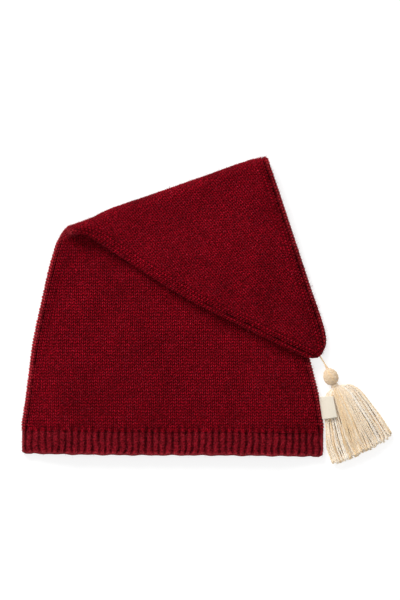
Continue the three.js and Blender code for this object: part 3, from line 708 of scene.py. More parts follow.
def panel_object(name, upper, shows, noise, material):
    """One panel of the tube as a closed wall: the outside with its stitches, an inner wall with
    every second row of their corners, and strips that join the two round the panel's edge. Only
    the stitches that show have their grid of points."""
    corner_rise, corner_girth, ended, dropped = stitch_table()
    points, girth, rise, values = panel_surface(corner_girth, ended, upper, noise)

    number = np.arange(ACROSS)[None, :]
    low = EDGE_WALES + dropped[:-1, None]
    exists = (number < EDGE_WALES) | (number >= ACROSS - EDGE_WALES)
    exists = exists | ((number >= low) & (number < ACROSS - low))
    cell_rise = (corner_rise[:-1] + corner_rise[1:])[:, None] / 2
    cell_girth = (corner_girth[:-1, :-1] + corner_girth[1:, 1:]) / 2
    fine = shows(cell_girth, cell_rise, np.minimum(number, ACROSS - 1 - number)) & exists
    outside, ring, ring_row, ring_column = panel_faces(fine, exists, dropped)

    inner_rows = COURSES // 2
    inner_girth = corner_girth[::2]
    inner_rise = np.repeat(corner_rise[::2, None], ACROSS + 1, 1)
    inner_points = on_tube(inner_girth, inner_rise, upper, 0, inner=True)
    base = (ROWS + 1) * (COLUMNS + 1)

    def inner_at(row, column):
        """Number of a corner of the inner wall."""
        return base + row * (ACROSS + 1) + drawn_at(column, dropped[2 * row], 1)

    i, j = grid(inner_rows, ACROSS)
    a, b, d, e = inner_at(i, j), inner_at(i, j + 1), inner_at(i + 1, j), inner_at(i + 1, j + 1)
    inner = np.concatenate([np.stack([a, e, b], 1), np.stack([a, d, e], 1)])
    mate = inner_at(
        np.floor(ring_row / (2 * STITCH_ROWS) + 0.5).astype(int),
        np.floor(ring_column / STITCH_COLUMNS + 0.5).astype(int),
    )
    border = halves(np.roll(ring, -1), ring, mate, np.roll(mate, -1))

    # The border's map is the outside's, with the inner wall's points pushed out past its edge
    r, q = grid(ROWS + 1, COLUMNS + 1)
    inner_r, inner_q = grid(inner_rows + 1, ACROSS + 1)
    stitch = np.stack([q / STITCH_COLUMNS, r / STITCH_ROWS], -1)
    stitch = np.concatenate([stitch, np.stack([inner_q, 2 * inner_r], -1)])
    chart = np.concatenate([chart_of(girth, rise), chart_of(inner_girth, inner_rise, True)])
    pushed = np.zeros((inner_rows + 1, 1))
    pushed[[0, -1], 0] = -WALL, WALL
    border_chart = chart.copy()
    border_chart[base:] = chart_of(inner_girth * 1.02, inner_rise + pushed)

    faces = np.concatenate([outside, inner, border])
    # The inner wall's values: one even level of painted shade, no painted light along an outline, and no
    # loose fibres
    plain = {"relief_shade": 0.7, "rim_light": 0, "fuzz": 0}  # the inner wall's values
    values = {k: np.append(v, np.full(inner_girth.size, plain[k])) for k, v in values.items()}
    return mesh_object(
        name,
        material,
        np.concatenate([points.reshape(-1, 3), inner_points.reshape(-1, 3)]),
        faces,
        {
            "stitch": stitch[faces],
            "OFBake": np.concatenate([chart[outside], chart[inner], border_chart[border]]),
        },
        values,
        np.arange(len(faces)) >= len(outside) + len(inner),
    )


def rib_relief(s, rise, inner, noise):
    """How deep the rib's wall lies in from its round surface, the depth of its grooves and the
    height of its stitches. Across a rib the crest is round, 1 - (across / half width)^2, and
    carries a column of stitches. The lower edge is a rolled bead on a Gauss curve, tucked in at
    its foot. A share s runs round the mouth, and the inner wall has flatter ribs."""
    lean = RIB_LEAN * patches(noise, 3, RIBS // 2, rise / RIB_TOP, s) * (1 - rise / RIB_TOP)
    across = np.abs(2 * ((s * RIBS + lean) % 1) - 1)
    phase = rise / RIB_TOP * RIB_COURSES - 0.8 * np.clip(across / 0.7, 0, 1)
    leg_wide = 0.94 + 0.1 * np.sin(2 * np.pi * phase)
    crest = np.clip(1 - (across / leg_wide) ** 2.0, 0, 1)
    uneven = 1 + RIB_UNEVEN * patches(noise, 4, RIBS, rise / RIB_TOP, s)
    body = smoothstep(rise, 0.5 * CAST_ON, 1.3 * CAST_ON)
    groove = RIB_GROOVE * (1 - crest) * uneven * (0.15 + 0.85 * body)
    legs = leg_profile(np.clip(across / 0.75, 0, 1), phase % 1) * RIB_STITCH * np.sqrt(crest) * body
    bead = BEAD * gauss(rise - 0.75 * CAST_ON, 0.4 * CAST_ON)
    bead *= 1 + 0.3 * np.sin(2 * np.pi * s * RIBS * 1.5)
    tuck = BEAD_TUCK * np.clip(1 - rise / (0.5 * CAST_ON), 0, 1) ** 2
    outside = groove - legs + RIB_INSET - bead + tuck
    inside = RIB_WALL - 0.3 * RIB_GROOVE * crest - tuck
    return np.where(inner > 0, inside, outside), groove, legs


def rib_object(name, noise, material):
    """The rib band as a closed ring, whose rows run up the outside and down the inside. Each
    point lies its depth inside the flattened tube: the front is the first half of the way round,
    the back the second. The lower edge hangs unevenly on two waves, and is drawn in at the hem's
    two corners along a quarter circle."""
    columns = RIBS * RIB_POINTS
    outer_rise = RIB_TOP * np.linspace(0, 1, int(RIB_COURSES * 4) + 3)
    inner_rise = RIB_TOP * np.linspace(1, 0, RIB_INNER_ROWS)
    inside = np.concatenate([0 * outer_rise, 0 * inner_rise + 1])
    s, rise = np.meshgrid(np.arange(columns) / columns, np.concatenate([outer_rise, inner_rise]))
    inner = inside[:, None] * np.ones_like(s)
    depth, groove, legs = rib_relief(s, rise, inner, noise)

    girth = 2 * half_girth_at(rise)
    run = (2 * s * girth) % girth
    upper = s < 0.5
    place = np.where(upper, run - girth / 2, girth / 2 - run)
    side = np.where(place < 0, -1.0, 1.0)
    from_seam = girth / 2 - np.abs(place)
    turn, inset, radius, flat = round_the_edge(from_seam, rise)
    axis = axis_at(rise)
    height = face_height(inset, radius, axis, rise)
    hang = HEM_HANG * np.sin(2 * np.pi * s * 9) * np.sin(2 * np.pi * s * 31)
    hang = hang * (1 - smoothstep(rise, 0, 4 * MM))
    corner = HEM_ROUND - np.sqrt(HEM_ROUND**2 - np.clip(HEM_ROUND - rise, 0, HEM_ROUND) ** 2)
    out = radius - depth - corner * (1 - smoothstep(inset, 0, 8 * MM))
    level_up = radius + (height - radius - depth) * np.sin(turn)
    level_down = radius - (radius - depth) * np.sin(turn)
    reach = flat - inset + np.where(turn < np.pi / 2, out * np.cos(turn), out - radius + depth)
    level = np.where(upper, level_up, level_down)
    points = lay_over(axis + side * reach, rise - hang, level, radius, height)

    count = len(inside)
    i, j = grid(count, columns)
    below, above = i * columns, (i + 1) % count * columns
    after = (j + 1) % columns
    faces = halves(below + j, below + after, above + after, above + j)
    corner_j, corner_i = halves(j, j + 1, j + 1, j), halves(i, i, i + 1, i + 1)
    stitch = np.stack([corner_j / RIB_POINTS, corner_i / count * 2 * RIB_COURSES], -1)
    chart = np.stack([0.01 + 0.98 * corner_j / columns, 0.01 + 0.98 * corner_i / count], -1)
    # Painted shade in the rib's grooves and painted light on the stitches of its crests; one even level on
    # the inner wall
    relief_shade = np.where(inner > 0, 0.6, 0.62 - 0.5 * groove / RIB_GROOVE + 0.3 * legs / RIB_STITCH)
    # The hem's rolled lower edge is kept out of the painted shade and gets the painted light of an outline,
    # like the sides
    at_hem = gauss(rise, CAST_ON)
    values = {
        "relief_shade": np.maximum(relief_shade, 0.75 * at_hem).ravel(),
        "rim_light": (np.maximum(gauss(from_seam, RIM_LIGHT_AND_FUZZ_REACH), at_hem) * (1 - inner)).ravel(),
        "fuzz": 1 - inner.ravel(),
    }
    maps = {"stitch": stitch, "OFBake": chart}
    turned_in = np.tile(i == len(outer_rise) - 1, 2)
    return mesh_object(name, material, points.reshape(-1, 3), faces, maps, values, turned_in)


def plied_yarns(paths, radii, twists, phases, sides=5, plies=2):
    """Twisted yarns along many paths as one array mesh: its points, its triangles, and the number
    of each point's yarn. Each yarn has plies that run round its centre line, a half turn apart,
    and each ply is a tube closed at both ends by its own rings drawn to a point. The first
    direction across a path is level. radii gives the yarn's radius at each point of each path."""
    yarns, stations, _ = paths.shape
    tangent = unit(np.gradient(paths, axis=1))
    across = np.cross(tangent, np.array([0, 0, 1.0]))
    short = np.linalg.norm(across, axis=-1, keepdims=True)
    across = np.where(short > 1e-3, across / np.maximum(short, 1e-9), np.array([1.0, 0, 0]))
    over = np.cross(across, tangent)
    steps = np.linalg.norm(np.diff(paths, axis=1), axis=-1)
    run = np.concatenate([np.zeros((yarns, 1)), np.cumsum(steps, 1)], 1)
    turn = 2 * np.pi * run / twists[:, None] + phases[:, None]
    turn = turn[:, :, None] + np.arange(plies) * 2 * np.pi / plies
    ply_off, ply_size = (0.48, 0.56) if plies > 1 else (0.0, 1.0)
    out = np.cos(turn)[..., None] * across[:, :, None] + np.sin(turn)[..., None] * over[:, :, None]
    centre = paths[:, :, None] + (radii[:, :, None] * ply_off)[..., None] * out
    around = 2 * np.pi * np.arange(sides)[:, None] / sides
    across, over = across[:, :, None, None], over[:, :, None, None]
    ring = np.cos(around) * across + np.sin(around) * over
    points = centre[:, :, :, None] + (radii * ply_size)[:, :, None, None, None] * ring
    tubes = yarns * plies
    points = points.transpose(0, 2, 1, 3, 4).reshape(tubes, stations, sides, 3)
    ends = points.mean(2)[:, [0, -1]]
    block = stations * sides + 2
    points = np.concatenate([points.reshape(tubes, -1, 3), ends], 1).reshape(-1, 3)
    i, j = grid(stations - 1, sides)
    after = (j + 1) % sides
    one = halves(i * sides + j, i * sides + after, (i + 1) * sides + after, (i + 1) * sides + j)
    s = np.arange(sides)
    last = (stations - 1) * sides
    first_cap = np.stack([(s + 1) % sides, s, 0 * s + block - 2], 1)
    last_cap = np.stack([last + s, last + (s + 1) % sides, 0 * s + block - 1], 1)
    one = np.concatenate([one, first_cap, last_cap])
    faces = (one[None] + (np.arange(tubes) * block)[:, None, None]).reshape(-1, 3)
    return points, faces, np.repeat(np.arange(yarns), plies * block)


def tassel_place(points):
    """The tassel's own frame turned and set down at its neck."""
    c, s = np.cos(TASSEL_ANGLE), np.sin(TASSEL_ANGLE)
    x = c * points[..., 0] - s * points[..., 1] + TASSEL_NECK[0]
    y = s * points[..., 0] + c * points[..., 1] + TASSEL_NECK[1] - ORIGIN_RISE
    return np.stack([x, y, points[..., 2]], -1)


def skirt_strands(noise):
    """Centre lines of the skirt's strands, and their tones. Each keeps its own share of the
    skirt's reach and height and its own turn round it from neck to end. Thirty groups of them
    share slow waves, 0 near the neck and full past 40 mm, and half of their tone, and bunches of
    them gather most near the neck. The skirt's middle has the neck's height at the neck, and
    further out the skirt lies on the floor."""
    share = np.concatenate([np.full(count, depth) for depth, count in SKIRT_LAYERS])
    turn = np.concatenate([np.linspace(-np.pi, np.pi, n, endpoint=False) for _, n in SKIRT_LAYERS])
    count = len(turn)
    turn = turn + 0.02 * noise.standard_normal(count)
    turn = turn - SKIRT_CROWD * np.sin(2 * turn)
    share = share * (1 + 0.03 * noise.standard_normal(count))
    lock_at = np.clip(np.abs(turn), 0, np.pi / 2) * np.sign(turn)
    end = np.interp(lock_at, np.linspace(-1.5, 1.5, len(SKIRT_ENDS)), SKIRT_ENDS)
    end = end + noise.uniform(-1.2, 0.9, count) * MM
    t = np.linspace(0, 1, 30)
    along = -SKIRT_START + (end[:, None] + SKIRT_START) * t
    on_skirt = np.clip(along, SKIRT["along"][0], SKIRT["along"][-1])
    columns = ("left", "right", "height")
    left, right, height = (smooth_column(SKIRT, "along", column, on_skirt) for column in columns)
    reach = np.where(np.sin(turn)[:, None] > 0, left, right) + 0.5 * MM
    group = np.round(turn / SKIRT_GROUP_TURN).astype(int) % SKIRT_GROUPS
    wave = 0.7 * noise.uniform(0, 2 * np.pi, (2, count, 1))
    wave = wave + noise.uniform(0, 2 * np.pi, (2, SKIRT_GROUPS, 1))[:, group]
    pace = noise.uniform(0.7, 1.5, (2, SKIRT_GROUPS, 1))[:, group]
    sway = np.sin(wave + 2 * np.pi * pace * t)
    free = smoothstep(along, 6 * MM, 40 * MM)
    tied = 1 - smoothstep(along, 4 * MM, 36 * MM)
    gather = SKIRT_GATHER[0] + SKIRT_GATHER[1] * tied
    gather = gather * np.sin(2 * np.pi * turn / SKIRT_BUNCH)[:, None]
    x = share[:, None] * np.sin(turn[:, None] - gather) * reach + SKIRT_SWAY[0] * free * sway[0]
    middle = lerp(NECK_HEIGHT, height + 0.2 * MM, smoothstep(on_skirt, 0, SKIRT_SETTLE))
    z = middle + share[:, None] * np.cos(turn)[:, None] * np.maximum(height, 0.5 * MM)
    z = np.maximum(z + SKIRT_SWAY[1] * free * sway[1], YARN_RADIUS * 1.15)
    tones = 0.5 * noise.uniform(0, 1, SKIRT_GROUPS)[group] + 0.5 * noise.uniform(0, 1, count)
    return np.stack([x, along, z], -1), tones


def head_strands(noise):
    """Centre lines of the head's strands: meridians of the round head, from its top to the neck,
    with a slight slant, and their tones, under 0, which the material turns into painted shade.
    The head is a little narrower towards its top."""
    turn = np.linspace(0, 2 * np.pi, HEAD_STRANDS, endpoint=False)
    turn = turn + 0.015 * noise.standard_normal(HEAD_STRANDS)
    latitude = np.linspace(-0.5 * np.pi + 0.1, 0.5 * np.pi - 0.12, 22)
    slant = turn[:, None] + HEAD_SLANT * np.sin(latitude)
    ring = np.cos(latitude) * (0.96 + 0.1 * np.sin(latitude))
    radii = HEAD_RADII - 0.9 * YARN_RADIUS
    x = HEAD_CENTRE[0] + radii[0] * ring * np.cos(slant)
    z = HEAD_CENTRE[2] + radii[2] * ring * np.sin(slant)
    y = HEAD_CENTRE[1] + radii[1] * np.sin(latitude) + 0 * x
    return np.stack([x, y, z], -1), noise.uniform(-0.8, -0.25, HEAD_STRANDS)


def tassel_object(name, noise, material):
    """Head and skirt of the tassel, strand by strand. The skirt's strands are thicker at their
    cut ends."""
    skirt, skirt_tones = skirt_strands(noise)
    head, head_tones = head_strands(noise)
    points, faces, strands, start = [], [], [], 0
    for lines, radius, fray, tones in (
        (skirt, YARN_RADIUS, SKIRT_FRAY, skirt_tones),
        (head, HEAD_YARN_RADIUS, 0, head_tones),
    ):
        count, stations, _ = lines.shape
        t = np.linspace(0, 1, stations)[None, :]
        size = radius * (1 + 0.06 * noise.standard_normal((count, 1)))
        radii = size * (1 + fray * smoothstep(t, 0.86, 1)) * np.ones_like(t)
        twists = YARN_TWIST * (1 + 0.1 * noise.standard_normal(count))
        phases = noise.uniform(0, 2 * np.pi, count)
        p, f, number = plied_yarns(tassel_place(lines), radii, twists, phases)
        points.append(p)
        faces.append(f + start)
        strands.append(tones[number])
        start += len(p)
    points, faces, strands = (np.concatenate(m) for m in (points, faces, strands))
    return mesh_object(name, material, points, faces, values={"strand": strands})


def yarn_object(name, line, radii, twist, phase, sides, tone, material):
    """A single yarn of one tone along one line."""
    twist, phase = np.array([twist]), np.array([phase])
    points, faces, number = plied_yarns(line[None], radii[None], twist, phase, sides)
    return mesh_object(name, material, points, faces, values={"strand": 0.0 * number + tone})


def binding_object(name, material):
    """Yarn wound round the tassel's neck: a helix of three turns whose ends sink into the neck."""
    t = np.linspace(0, 1, 96)
    turn = 2 * np.pi * WINDING_TURNS * t
    sunk = smoothstep(t, 0.94, 1) + 1 - smoothstep(t, 0, 0.06)
    radius = NECK_RADIUS + SEAM_GAP + WINDING_LIFT - WINDING_SINK * sunk
    y = lerp(-0.9, 0.9, t) * MM
    line = np.stack([radius * np.cos(turn), y, NECK_HEIGHT + radius * np.sin(turn)], -1)
    radii = np.full(len(t), WINDING_RADIUS)
    line = tassel_place(line)
    return yarn_object(name, line, radii, WINDING_TWIST, 0.0, 6, WINDING_TONE, material)


def thread_object(name, material):
    """Thread from the hat's point to the head's top: two plies twisted along a shallow bow,
    thicker where it goes into the head."""
    rise = OUTLINE["rise"][-1]
    radius = EDGE_SHARE * half_width_at(rise)
    start = lay_over(axis_at(rise), rise, radius, radius, 2 * radius)
    head_top = np.array([0, HEAD_CENTRE[1] - HEAD_RADII[1] + 0.4 * MM, HEAD_CENTRE[2]])
    end = tassel_place(head_top)
    middle = lerp(start, end, 0.5) + THREAD_BOW
    t = np.linspace(0, 1, 40)[:, None]
    line = (1 - t) ** 2 * start + 2 * t * (1 - t) * (2 * middle - (start + end) / 2) + t**2 * end
    radii = THREAD_RADIUS + THREAD_SWELL * smoothstep(t[:, 0], 0.6, 1)
    return yarn_object(name, line, radii, THREAD_TWIST, 0.4, 7, THREAD_TONE, material)


def label_object(name, material):
    """The folded label: one strip of tape, out from the seam and back under itself round a small
    fold at its outer end, bent up over the tassel's skirt, with its wall worked out across the
    strip's own bend."""
    half_gap = (LABEL_THICKNESS - LABEL_TAPE) / 2
    straight = np.linspace(0, 1, 26)
    arc = np.linspace(0, np.pi, 9)[1:-1]
    out = np.concatenate([straight, 0 * arc + 1, straight[::-1]])
    lift = np.concatenate([0 * straight + 1, np.cos(arc), 0 * straight - 1]) * half_gap
    bulge = np.concatenate([0 * straight, np.sin(arc), 0 * straight]) * half_gap
    up = np.linspace(0, 1, 25)
    o, v = np.meshgrid(out, up, indexing="ij")
    root = lerp(LABEL_ROOT[0], LABEL_ROOT[1], v[..., None])
    end = lerp(LABEL_END[0], LABEL_END[1], v[..., None])
    plan = lerp(root, end, o[..., None]) + unit(end - root) * (bulge[:, None, None] - half_gap)
    climb = np.sin((np.pi / 2) * o**LABEL_BEND)
    height = lerp(LABEL_ROOT_HEIGHT, LABEL_END_HEIGHT, climb) + lift[:, None]
    height = height + LABEL_CURL * np.sin(np.pi * v) * o
    middle = np.stack([plan[..., 0], plan[..., 1] - ORIGIN_RISE, height], -1)
    normal = unit(np.cross(np.gradient(middle, axis=0), np.gradient(middle, axis=1)))
    wall = np.concatenate([(middle + side * normal * LABEL_TAPE / 2).reshape(-1, 3) for side in (1, -1)])
    n, m = middle.shape[:2]
    i, j = grid(n - 1, m - 1)
    top = halves(i * m + j, (i + 1) * m + j, (i + 1) * m + j + 1, i * m + j + 1)
    rows, columns = np.arange(n), np.arange(m)
    ring = np.concatenate([rows * m, (n - 1) * m + columns, rows[::-1] * m + m - 1, columns[::-1]])
    after = np.roll(ring, -1)
    faces = np.concatenate([top, top[:, ::-1] + n * m, halves(after, ring, ring + n * m, after + n * m)])
    steps = np.linalg.norm(np.diff(middle[:, m // 2], axis=0), axis=-1)
    run = np.concatenate([[0], np.cumsum(steps)])
    weave = np.stack([np.repeat(run, m), np.tile(up * LABEL_WIDTH, n)], -1)
    weave = np.concatenate([weave, weave])
    return mesh_object(name, material, wall, faces, {"weave": weave[faces] / MM})


def read(rows, key, kind, size=1):
    """An array of one value of all rows of a mesh's table."""
    values = np.empty(len(rows) * size, kind)
    rows.foreach_get(key, values)
    return values


def fuzz_object(name, pieces, counts, reach, radius, noise, material):
    """Loose fibres that stand off the wool: thin closed hairs, each rooted in a small face of a
    piece and curved away from its normal to a random side, root + length (t aim + 0.45 t^2 curl).
    A piece's fuzz attribute says how many stand where."""
    lines = []
    for piece, count in zip(pieces, counts):
        mesh = piece.data
        centres = read(mesh.polygons, "center", float, 3).reshape(-1, 3)
        normals = read(mesh.polygons, "normal", float, 3).reshape(-1, 3)
        areas = read(mesh.polygons, "area", float)
        first = read(mesh.loops, "vertex_index", np.int32)[read(mesh.polygons, "loop_start", np.int32)]
        weight = np.ones(len(mesh.vertices), np.float32)
        if "fuzz" in mesh.attributes:
            weight = read(mesh.attributes["fuzz"].data, "value", np.float32)
        chance = weight[first] * (areas < FUZZ_FACE) * (centres[:, 2] > FUZZ_ABOVE)
        chosen = noise.choice(len(areas), count, replace=False, p=chance / chance.sum())
        root, up = centres[chosen], normals[chosen]
        aside = unit(np.cross(up, noise.standard_normal((count, 3))))
        curl = np.cross(up, aside) * noise.uniform(-1, 1, (count, 1))
        curl = curl - up * noise.uniform(0, 0.7, (count, 1))
        lean = noise.uniform(0.5, 1.6, (count, 1))
        aim = (up + aside * lean) / np.sqrt(1 + lean**2)
        length = reach * noise.uniform(0.4, 1, (count, 1))
        t = np.linspace(0, 1, 4)[None, :, None]
        bent = length[:, None] * (t * aim[:, None] + 0.45 * t**2 * curl[:, None])
        line = root[:, None] - FUZZ_ROOT * up[:, None] + bent
        line[..., 2] = np.maximum(line[..., 2], 2 * radius)
        lines.append(line)
    lines = np.concatenate(lines)
    count = len(lines)
    radii = radius * np.array([1, 0.9, 0.7, 0.35])[None, :] * np.ones((count, 1))
    points, faces, number = plied_yarns(lines, radii, np.ones(count), np.zeros(count), 3, 1)
    shade = noise.uniform(0, 1, count)[number]
    return mesh_object(name, material, points, faces, values={"strand": shade})


class Shading:
    """A new material and the nodes that feed it. Each method adds nodes and gives the output of
    the last. A value is a socket, a number, or a colour of three numbers."""

    def __init__(self, name, inputs):
        self.material = bpy.data.materials.new(name)
        self.material.use_nodes = True
        self.tree = self.material.node_tree
        for key, value in inputs.items():
            self.set(key, value)

    def set(self, key, value):
        """Gives one of the shader's own inputs a value."""
        self.feed(self.tree.nodes["Principled BSDF"].inputs[key], value)

    def feed(self, socket, value):
        """Links a socket to another, or sets it."""
        if isinstance(value, bpy.types.NodeSocket):
            self.tree.links.new(value, socket)
        else:
            socket.default_value = (*value, 1) if socket.type == "RGBA" else value

    def add(self, kind, inputs=(), output=0, **settings):
        """A node of a kind, with its inputs by name or number, and its settings."""
        made = self.tree.nodes.new("ShaderNode" + kind)
        for key, value in settings.items():
            setattr(made, key, value)
        for key, value in dict(inputs).items():
            self.feed(made.inputs[key], value)
        return made.outputs[output]

    def math(self, operation, *values):
        """An arithmetic node on one or two values."""
        return self.add("Math", enumerate(values), operation=operation)

    def times(self, a, b):
        """The product a b."""
        return self.math("MULTIPLY", a, b)

    def plus(self, a, b):
        """The sum a + b."""
        return self.math("ADD", a, b)

    def mix(self, share, a, b, blend="MIX"):
        """From colour a to colour b by a share."""
        return self.add("Mix", {0: share, 6: a, 7: b}, 2, data_type="RGBA", blend_type=blend)

    def span(self, value, low, high, to_low=0.0, to_high=1.0):
        """The value carried from the range low to high onto another, and kept in it."""
        return self.add("MapRange", enumerate((value, low, high, to_low, to_high)))

    def noise(self, scale, detail, roughness):
        """Noise over the object's own coordinates."""
        place = self.add("TexCoord", output="Object")
        inputs = {"Vector": place, "Scale": scale, "Detail": detail, "Roughness": roughness}
        return self.add("TexNoise", inputs, "Fac")

    def attribute(self, name):
        """A number that the mesh carries at its points."""
        return self.add("Attribute", output="Fac", attribute_name=name)

    def map_place(self, name):
        """The two coordinates of a UV map."""
        place = self.add("UVMap", uv_map=name)
        return [self.add("SeparateXYZ", {0: place}, axis) for axis in (0, 1)]

    def bump(self, height, strength, distance):
        """Fine relief from a height, at a strength and over a distance."""
        inputs = {"Height": height, "Strength": strength, "Distance": distance}
        self.set("Normal", self.add("Bump", inputs))


def knit_material(name, reds, fleck):
    """Dark red wool. Its colour is a mix of two reds by noise along the yarn, with a few paler
    flecks of fibre. On it is painted shade in the hollows between the stitches and painted light
    on their crests, read from the relief, and painted light along the outline, paler, pinker and
    brighter. Its bump is the twist of the yarn, sin(2 pi (3 across + 2 up)) on the stitches' own
    map, and a fine noise of fibres."""
    made = Shading(name, KNIT_FINISH)
    wale, row = made.map_place("stitch")
    relief_shade = made.attribute("relief_shade")
    # How much painted light along the outline a point gets, less in the deep hollows
    edge = made.times(made.attribute("rim_light"), made.span(relief_shade, 0.1, 1.0))
    colour = made.mix(made.span(made.noise(1000, 3, 0.65), 0.39, 0.61), *reds)
    # The pinker colour of the painted light along the outline
    colour = made.mix(made.times(edge, 0.2), colour, RIM_LIGHT_RED)
    colour = made.mix(made.span(made.noise(1500, 2, 0.7), 0.6, 0.78, 0.0, 0.6), colour, fleck)
    # Painted shade in the hollows between the stitches and painted light on their crests, from the relief;
    # the two noises after it are random tone
    shade = made.span(relief_shade, -0.1, 1.0, 0.08, 1.45)
    shade = made.times(shade, made.span(made.noise(40, 3, 0.6), 0.3, 0.7, 0.84, 1.12))
    shade = made.times(shade, made.span(made.noise(380, 2, 0.5), 0.35, 0.65, 0.86, 1.14))
    # The outline is painted brighter: painted light
    shade = made.times(shade, made.plus(made.times(edge, 0.6), 1.0))
    grey = made.add("CombineColor", {0: shade, 1: shade, 2: shade})
    made.set("Base Color", made.mix(1.0, colour, grey, "MULTIPLY"))
    across = made.math("SUBTRACT", made.times(made.math("FRACT", wale), 2.0), 1.0)
    twist = made.plus(made.times(made.math("ABSOLUTE", across), 3.0), made.times(row, 2.0))
    ply = made.math("SINE", made.times(twist, 2 * np.pi))
    height = made.plus(made.times(ply, 0.16), made.times(made.noise(2600, 3, 0.7), 0.9))
    made.bump(height, 0.55, 0.25 * MM)
    return made.material


def yarn_material(name, colours, finish):
    """Wool yarn: each strand a little lighter or darker, with fine fibres along it. A strand
    whose tone is under 0 is darker yet, mixed towards a darker tan by that much: on the tassel's
    head this is painted shade, where the head takes more light than the skirt."""
    made = Shading(name, YARN_FINISH | finish)
    strand = made.attribute("strand")
    tone = made.plus(made.times(strand, 0.8), made.times(made.noise(1100, 3, 0.65), 0.5))
    colour = made.mix(made.span(tone, 0.35, 0.9), *colours)
    # Painted shade on the tassel's head: strands of tone under 0 are mixed towards the darker tan
    made.set("Base Color", made.mix(made.span(strand, 0.0, -1.0), colour, HEAD_SHADE_CREAM))
    made.bump(made.noise(2600, 3, 0.7), 0.5, 0.2 * MM)
    return made.material


def tape_material(name, colours):
    """Closely woven tape: fine threads over and under each other, sin(warp) sin(weft), eighteen
    to the centimetre along the tape and twenty-four across it."""
    made = Shading(name, TAPE_FINISH)
    along, across = made.map_place("weave")
    warp = made.math("SINE", made.times(along, 2 * np.pi * 1.8))
    weft = made.math("SINE", made.times(across, 2 * np.pi * 2.4))
    height = made.times(warp, weft)
    # Painted shade where the threads dip under and painted light where they rise: the colour follows the
    # weave's height
    made.set("Base Color", made.mix(made.span(height, -1.0, 1.0), *colours))
    made.bump(height, 0.35, 0.08 * MM)
    return made.material


def front_shows(girth, rise, from_seam):
    """Stitches of the front panel that show: those of the body that the flap doesn't cover, the
    inside of the fold's open left end, and the one nearest each seam under the flap."""
    x = axis_at(rise) + girth
    _, past, _, _, length = by_fold(x, rise)
    body = (past < 0) & (folded_deep(x, rise) < HIDDEN_FROM)
    pocket = (past >= 0) & (past < length + 10 * MM) & (girth < 0) & (from_seam < 5)
    under = (past >= length) & (from_seam < 1)
    return body | pocket | under


def back_shows(girth, rise, from_seam):
    """Stitches of the back panel that show: the fold's outside and the flap's top, and the
    nearest to the seams on the body."""
    return (by_fold(axis_at(rise) + girth, rise)[1] > -8 * MM) | (from_seam < 1)


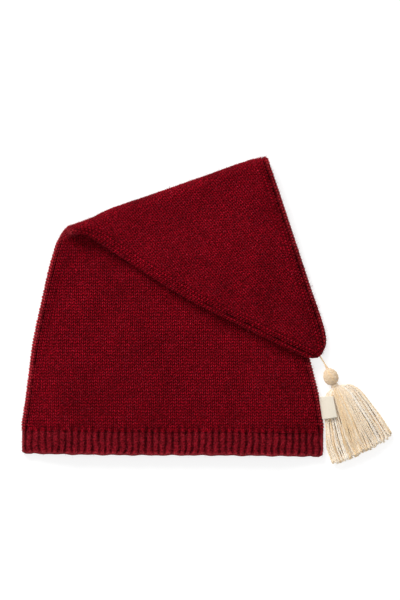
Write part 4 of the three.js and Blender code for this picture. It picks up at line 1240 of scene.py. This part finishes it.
def studio():
    """Near-white floor, a large soft key from the upper left, a broad fill from above, and the
    camera straight over the photograph's middle. A lamp's own -Z is tilted from straight down
    and then turned to its aim."""
    scene = bpy.context.scene
    floor_mesh = bpy.data.meshes.new("floor")
    corners = [(x * FLOOR_HALF, y * FLOOR_HALF, 0) for x, y in ((-1, -1), (1, -1), (1, 1), (-1, 1))]
    floor_mesh.from_pydata(corners, [], [(0, 1, 2, 3)])
    floor_mesh.materials.append(Shading("floor_paper", FLOOR_FINISH).material)
    floor = in_scene("floor", floor_mesh)

    scene.world = bpy.data.worlds.new("studio")
    scene.world.use_nodes = True
    background = scene.world.node_tree.nodes["Background"]
    background.inputs["Color"].default_value = (*WHITE, 1)
    background.inputs["Strength"].default_value = WORLD_GLOW

    for name, place, size, energy in LAMPS:
        lamp = bpy.data.lights.new(name, "AREA")
        lamp.shape = "DISK"
        lamp.size = size
        lamp.energy = energy
        aim = unit(LAMP_AIM - np.array(place))
        light = in_scene(name, lamp, place)
        light.rotation_euler = (0, -np.arccos(-aim[2]), np.arctan2(aim[1], aim[0]))

    data = bpy.data.cameras.new("camera")
    data.sensor_fit = "AUTO"
    data.sensor_width = 36
    data.lens = data.sensor_width * CAMERA_DISTANCE / (PHOTO_SIZE[1] * PIXEL)
    data.clip_end = 20
    middle_x = (PHOTO_SIZE[0] / 2 - HEM_PIXEL[0]) * PIXEL
    middle_y = (HEM_PIXEL[1] - PHOTO_SIZE[1] / 2) * PIXEL - ORIGIN_RISE
    scene.camera = in_scene("camera", data, (middle_x, middle_y, CAMERA_DISTANCE))
    scene.view_settings.view_transform = "Standard"
    scene.view_settings.look = "None"


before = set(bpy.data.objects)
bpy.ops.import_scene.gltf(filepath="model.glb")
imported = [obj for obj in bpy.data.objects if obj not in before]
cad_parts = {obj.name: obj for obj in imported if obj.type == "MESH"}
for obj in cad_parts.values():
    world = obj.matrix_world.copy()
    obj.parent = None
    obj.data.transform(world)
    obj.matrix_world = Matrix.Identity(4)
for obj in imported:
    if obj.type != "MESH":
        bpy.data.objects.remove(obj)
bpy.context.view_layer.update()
studio()

red_knit = knit_material("red_knit", KNIT_REDS, KNIT_FLECK)
red_rib = knit_material("red_rib", RIB_REDS, RIB_FLECK)
cream_wool = yarn_material("cream_wool", CREAMS, CREAM_FINISH)
label_tape = tape_material("label_tape", TAPE_CREAMS)
red_fibre = yarn_material("red_fibre", FIBRE_REDS, FIBRE_FINISH)

random = np.random.default_rng(7)
front = panel_object("front_knit", True, front_shows, random, red_knit)
back = panel_object("back_knit", False, back_shows, random, red_knit)
rib = rib_object("rib_knit", random, red_rib)
tassel = tassel_object("tassel_yarn", random, cream_wool)
binding = binding_object("neck_yarn", cream_wool)
thread = thread_object("thread_yarn", cream_wool)
label = label_object("label_tape_fold", label_tape)
knits = (front, back, rib)
red_fuzz = fuzz_object("red_fuzz", knits, (2900, 2400, 700), 3.6 * MM, 0.055 * MM, random, red_fibre)
cream_fuzz = fuzz_object("cream_fuzz", (tassel,), (3600,), 3.2 * MM, 0.06 * MM, random, cream_wool)

for piece, cad_node, slot in (
    (front, "front_panel", "red_knit"),
    (back, "back_panel", "red_knit"),
    (rib, "rib_hem", "red_rib"),
    (tassel, "tassel", "cream_wool"),
    (binding, "neck_binding", "cream_wool"),
    (thread, "hanging_thread", "cream_wool"),
    (label, "side_label", "label_tape"),
):
    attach(piece, "root")
    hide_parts(cad_node)

for piece, slot in ((red_fuzz, "red_knit"), (cream_fuzz, "cream_wool")):
    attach(piece, "root")

knit_girth = 2 * half_girth_at(KNIT_FROM)
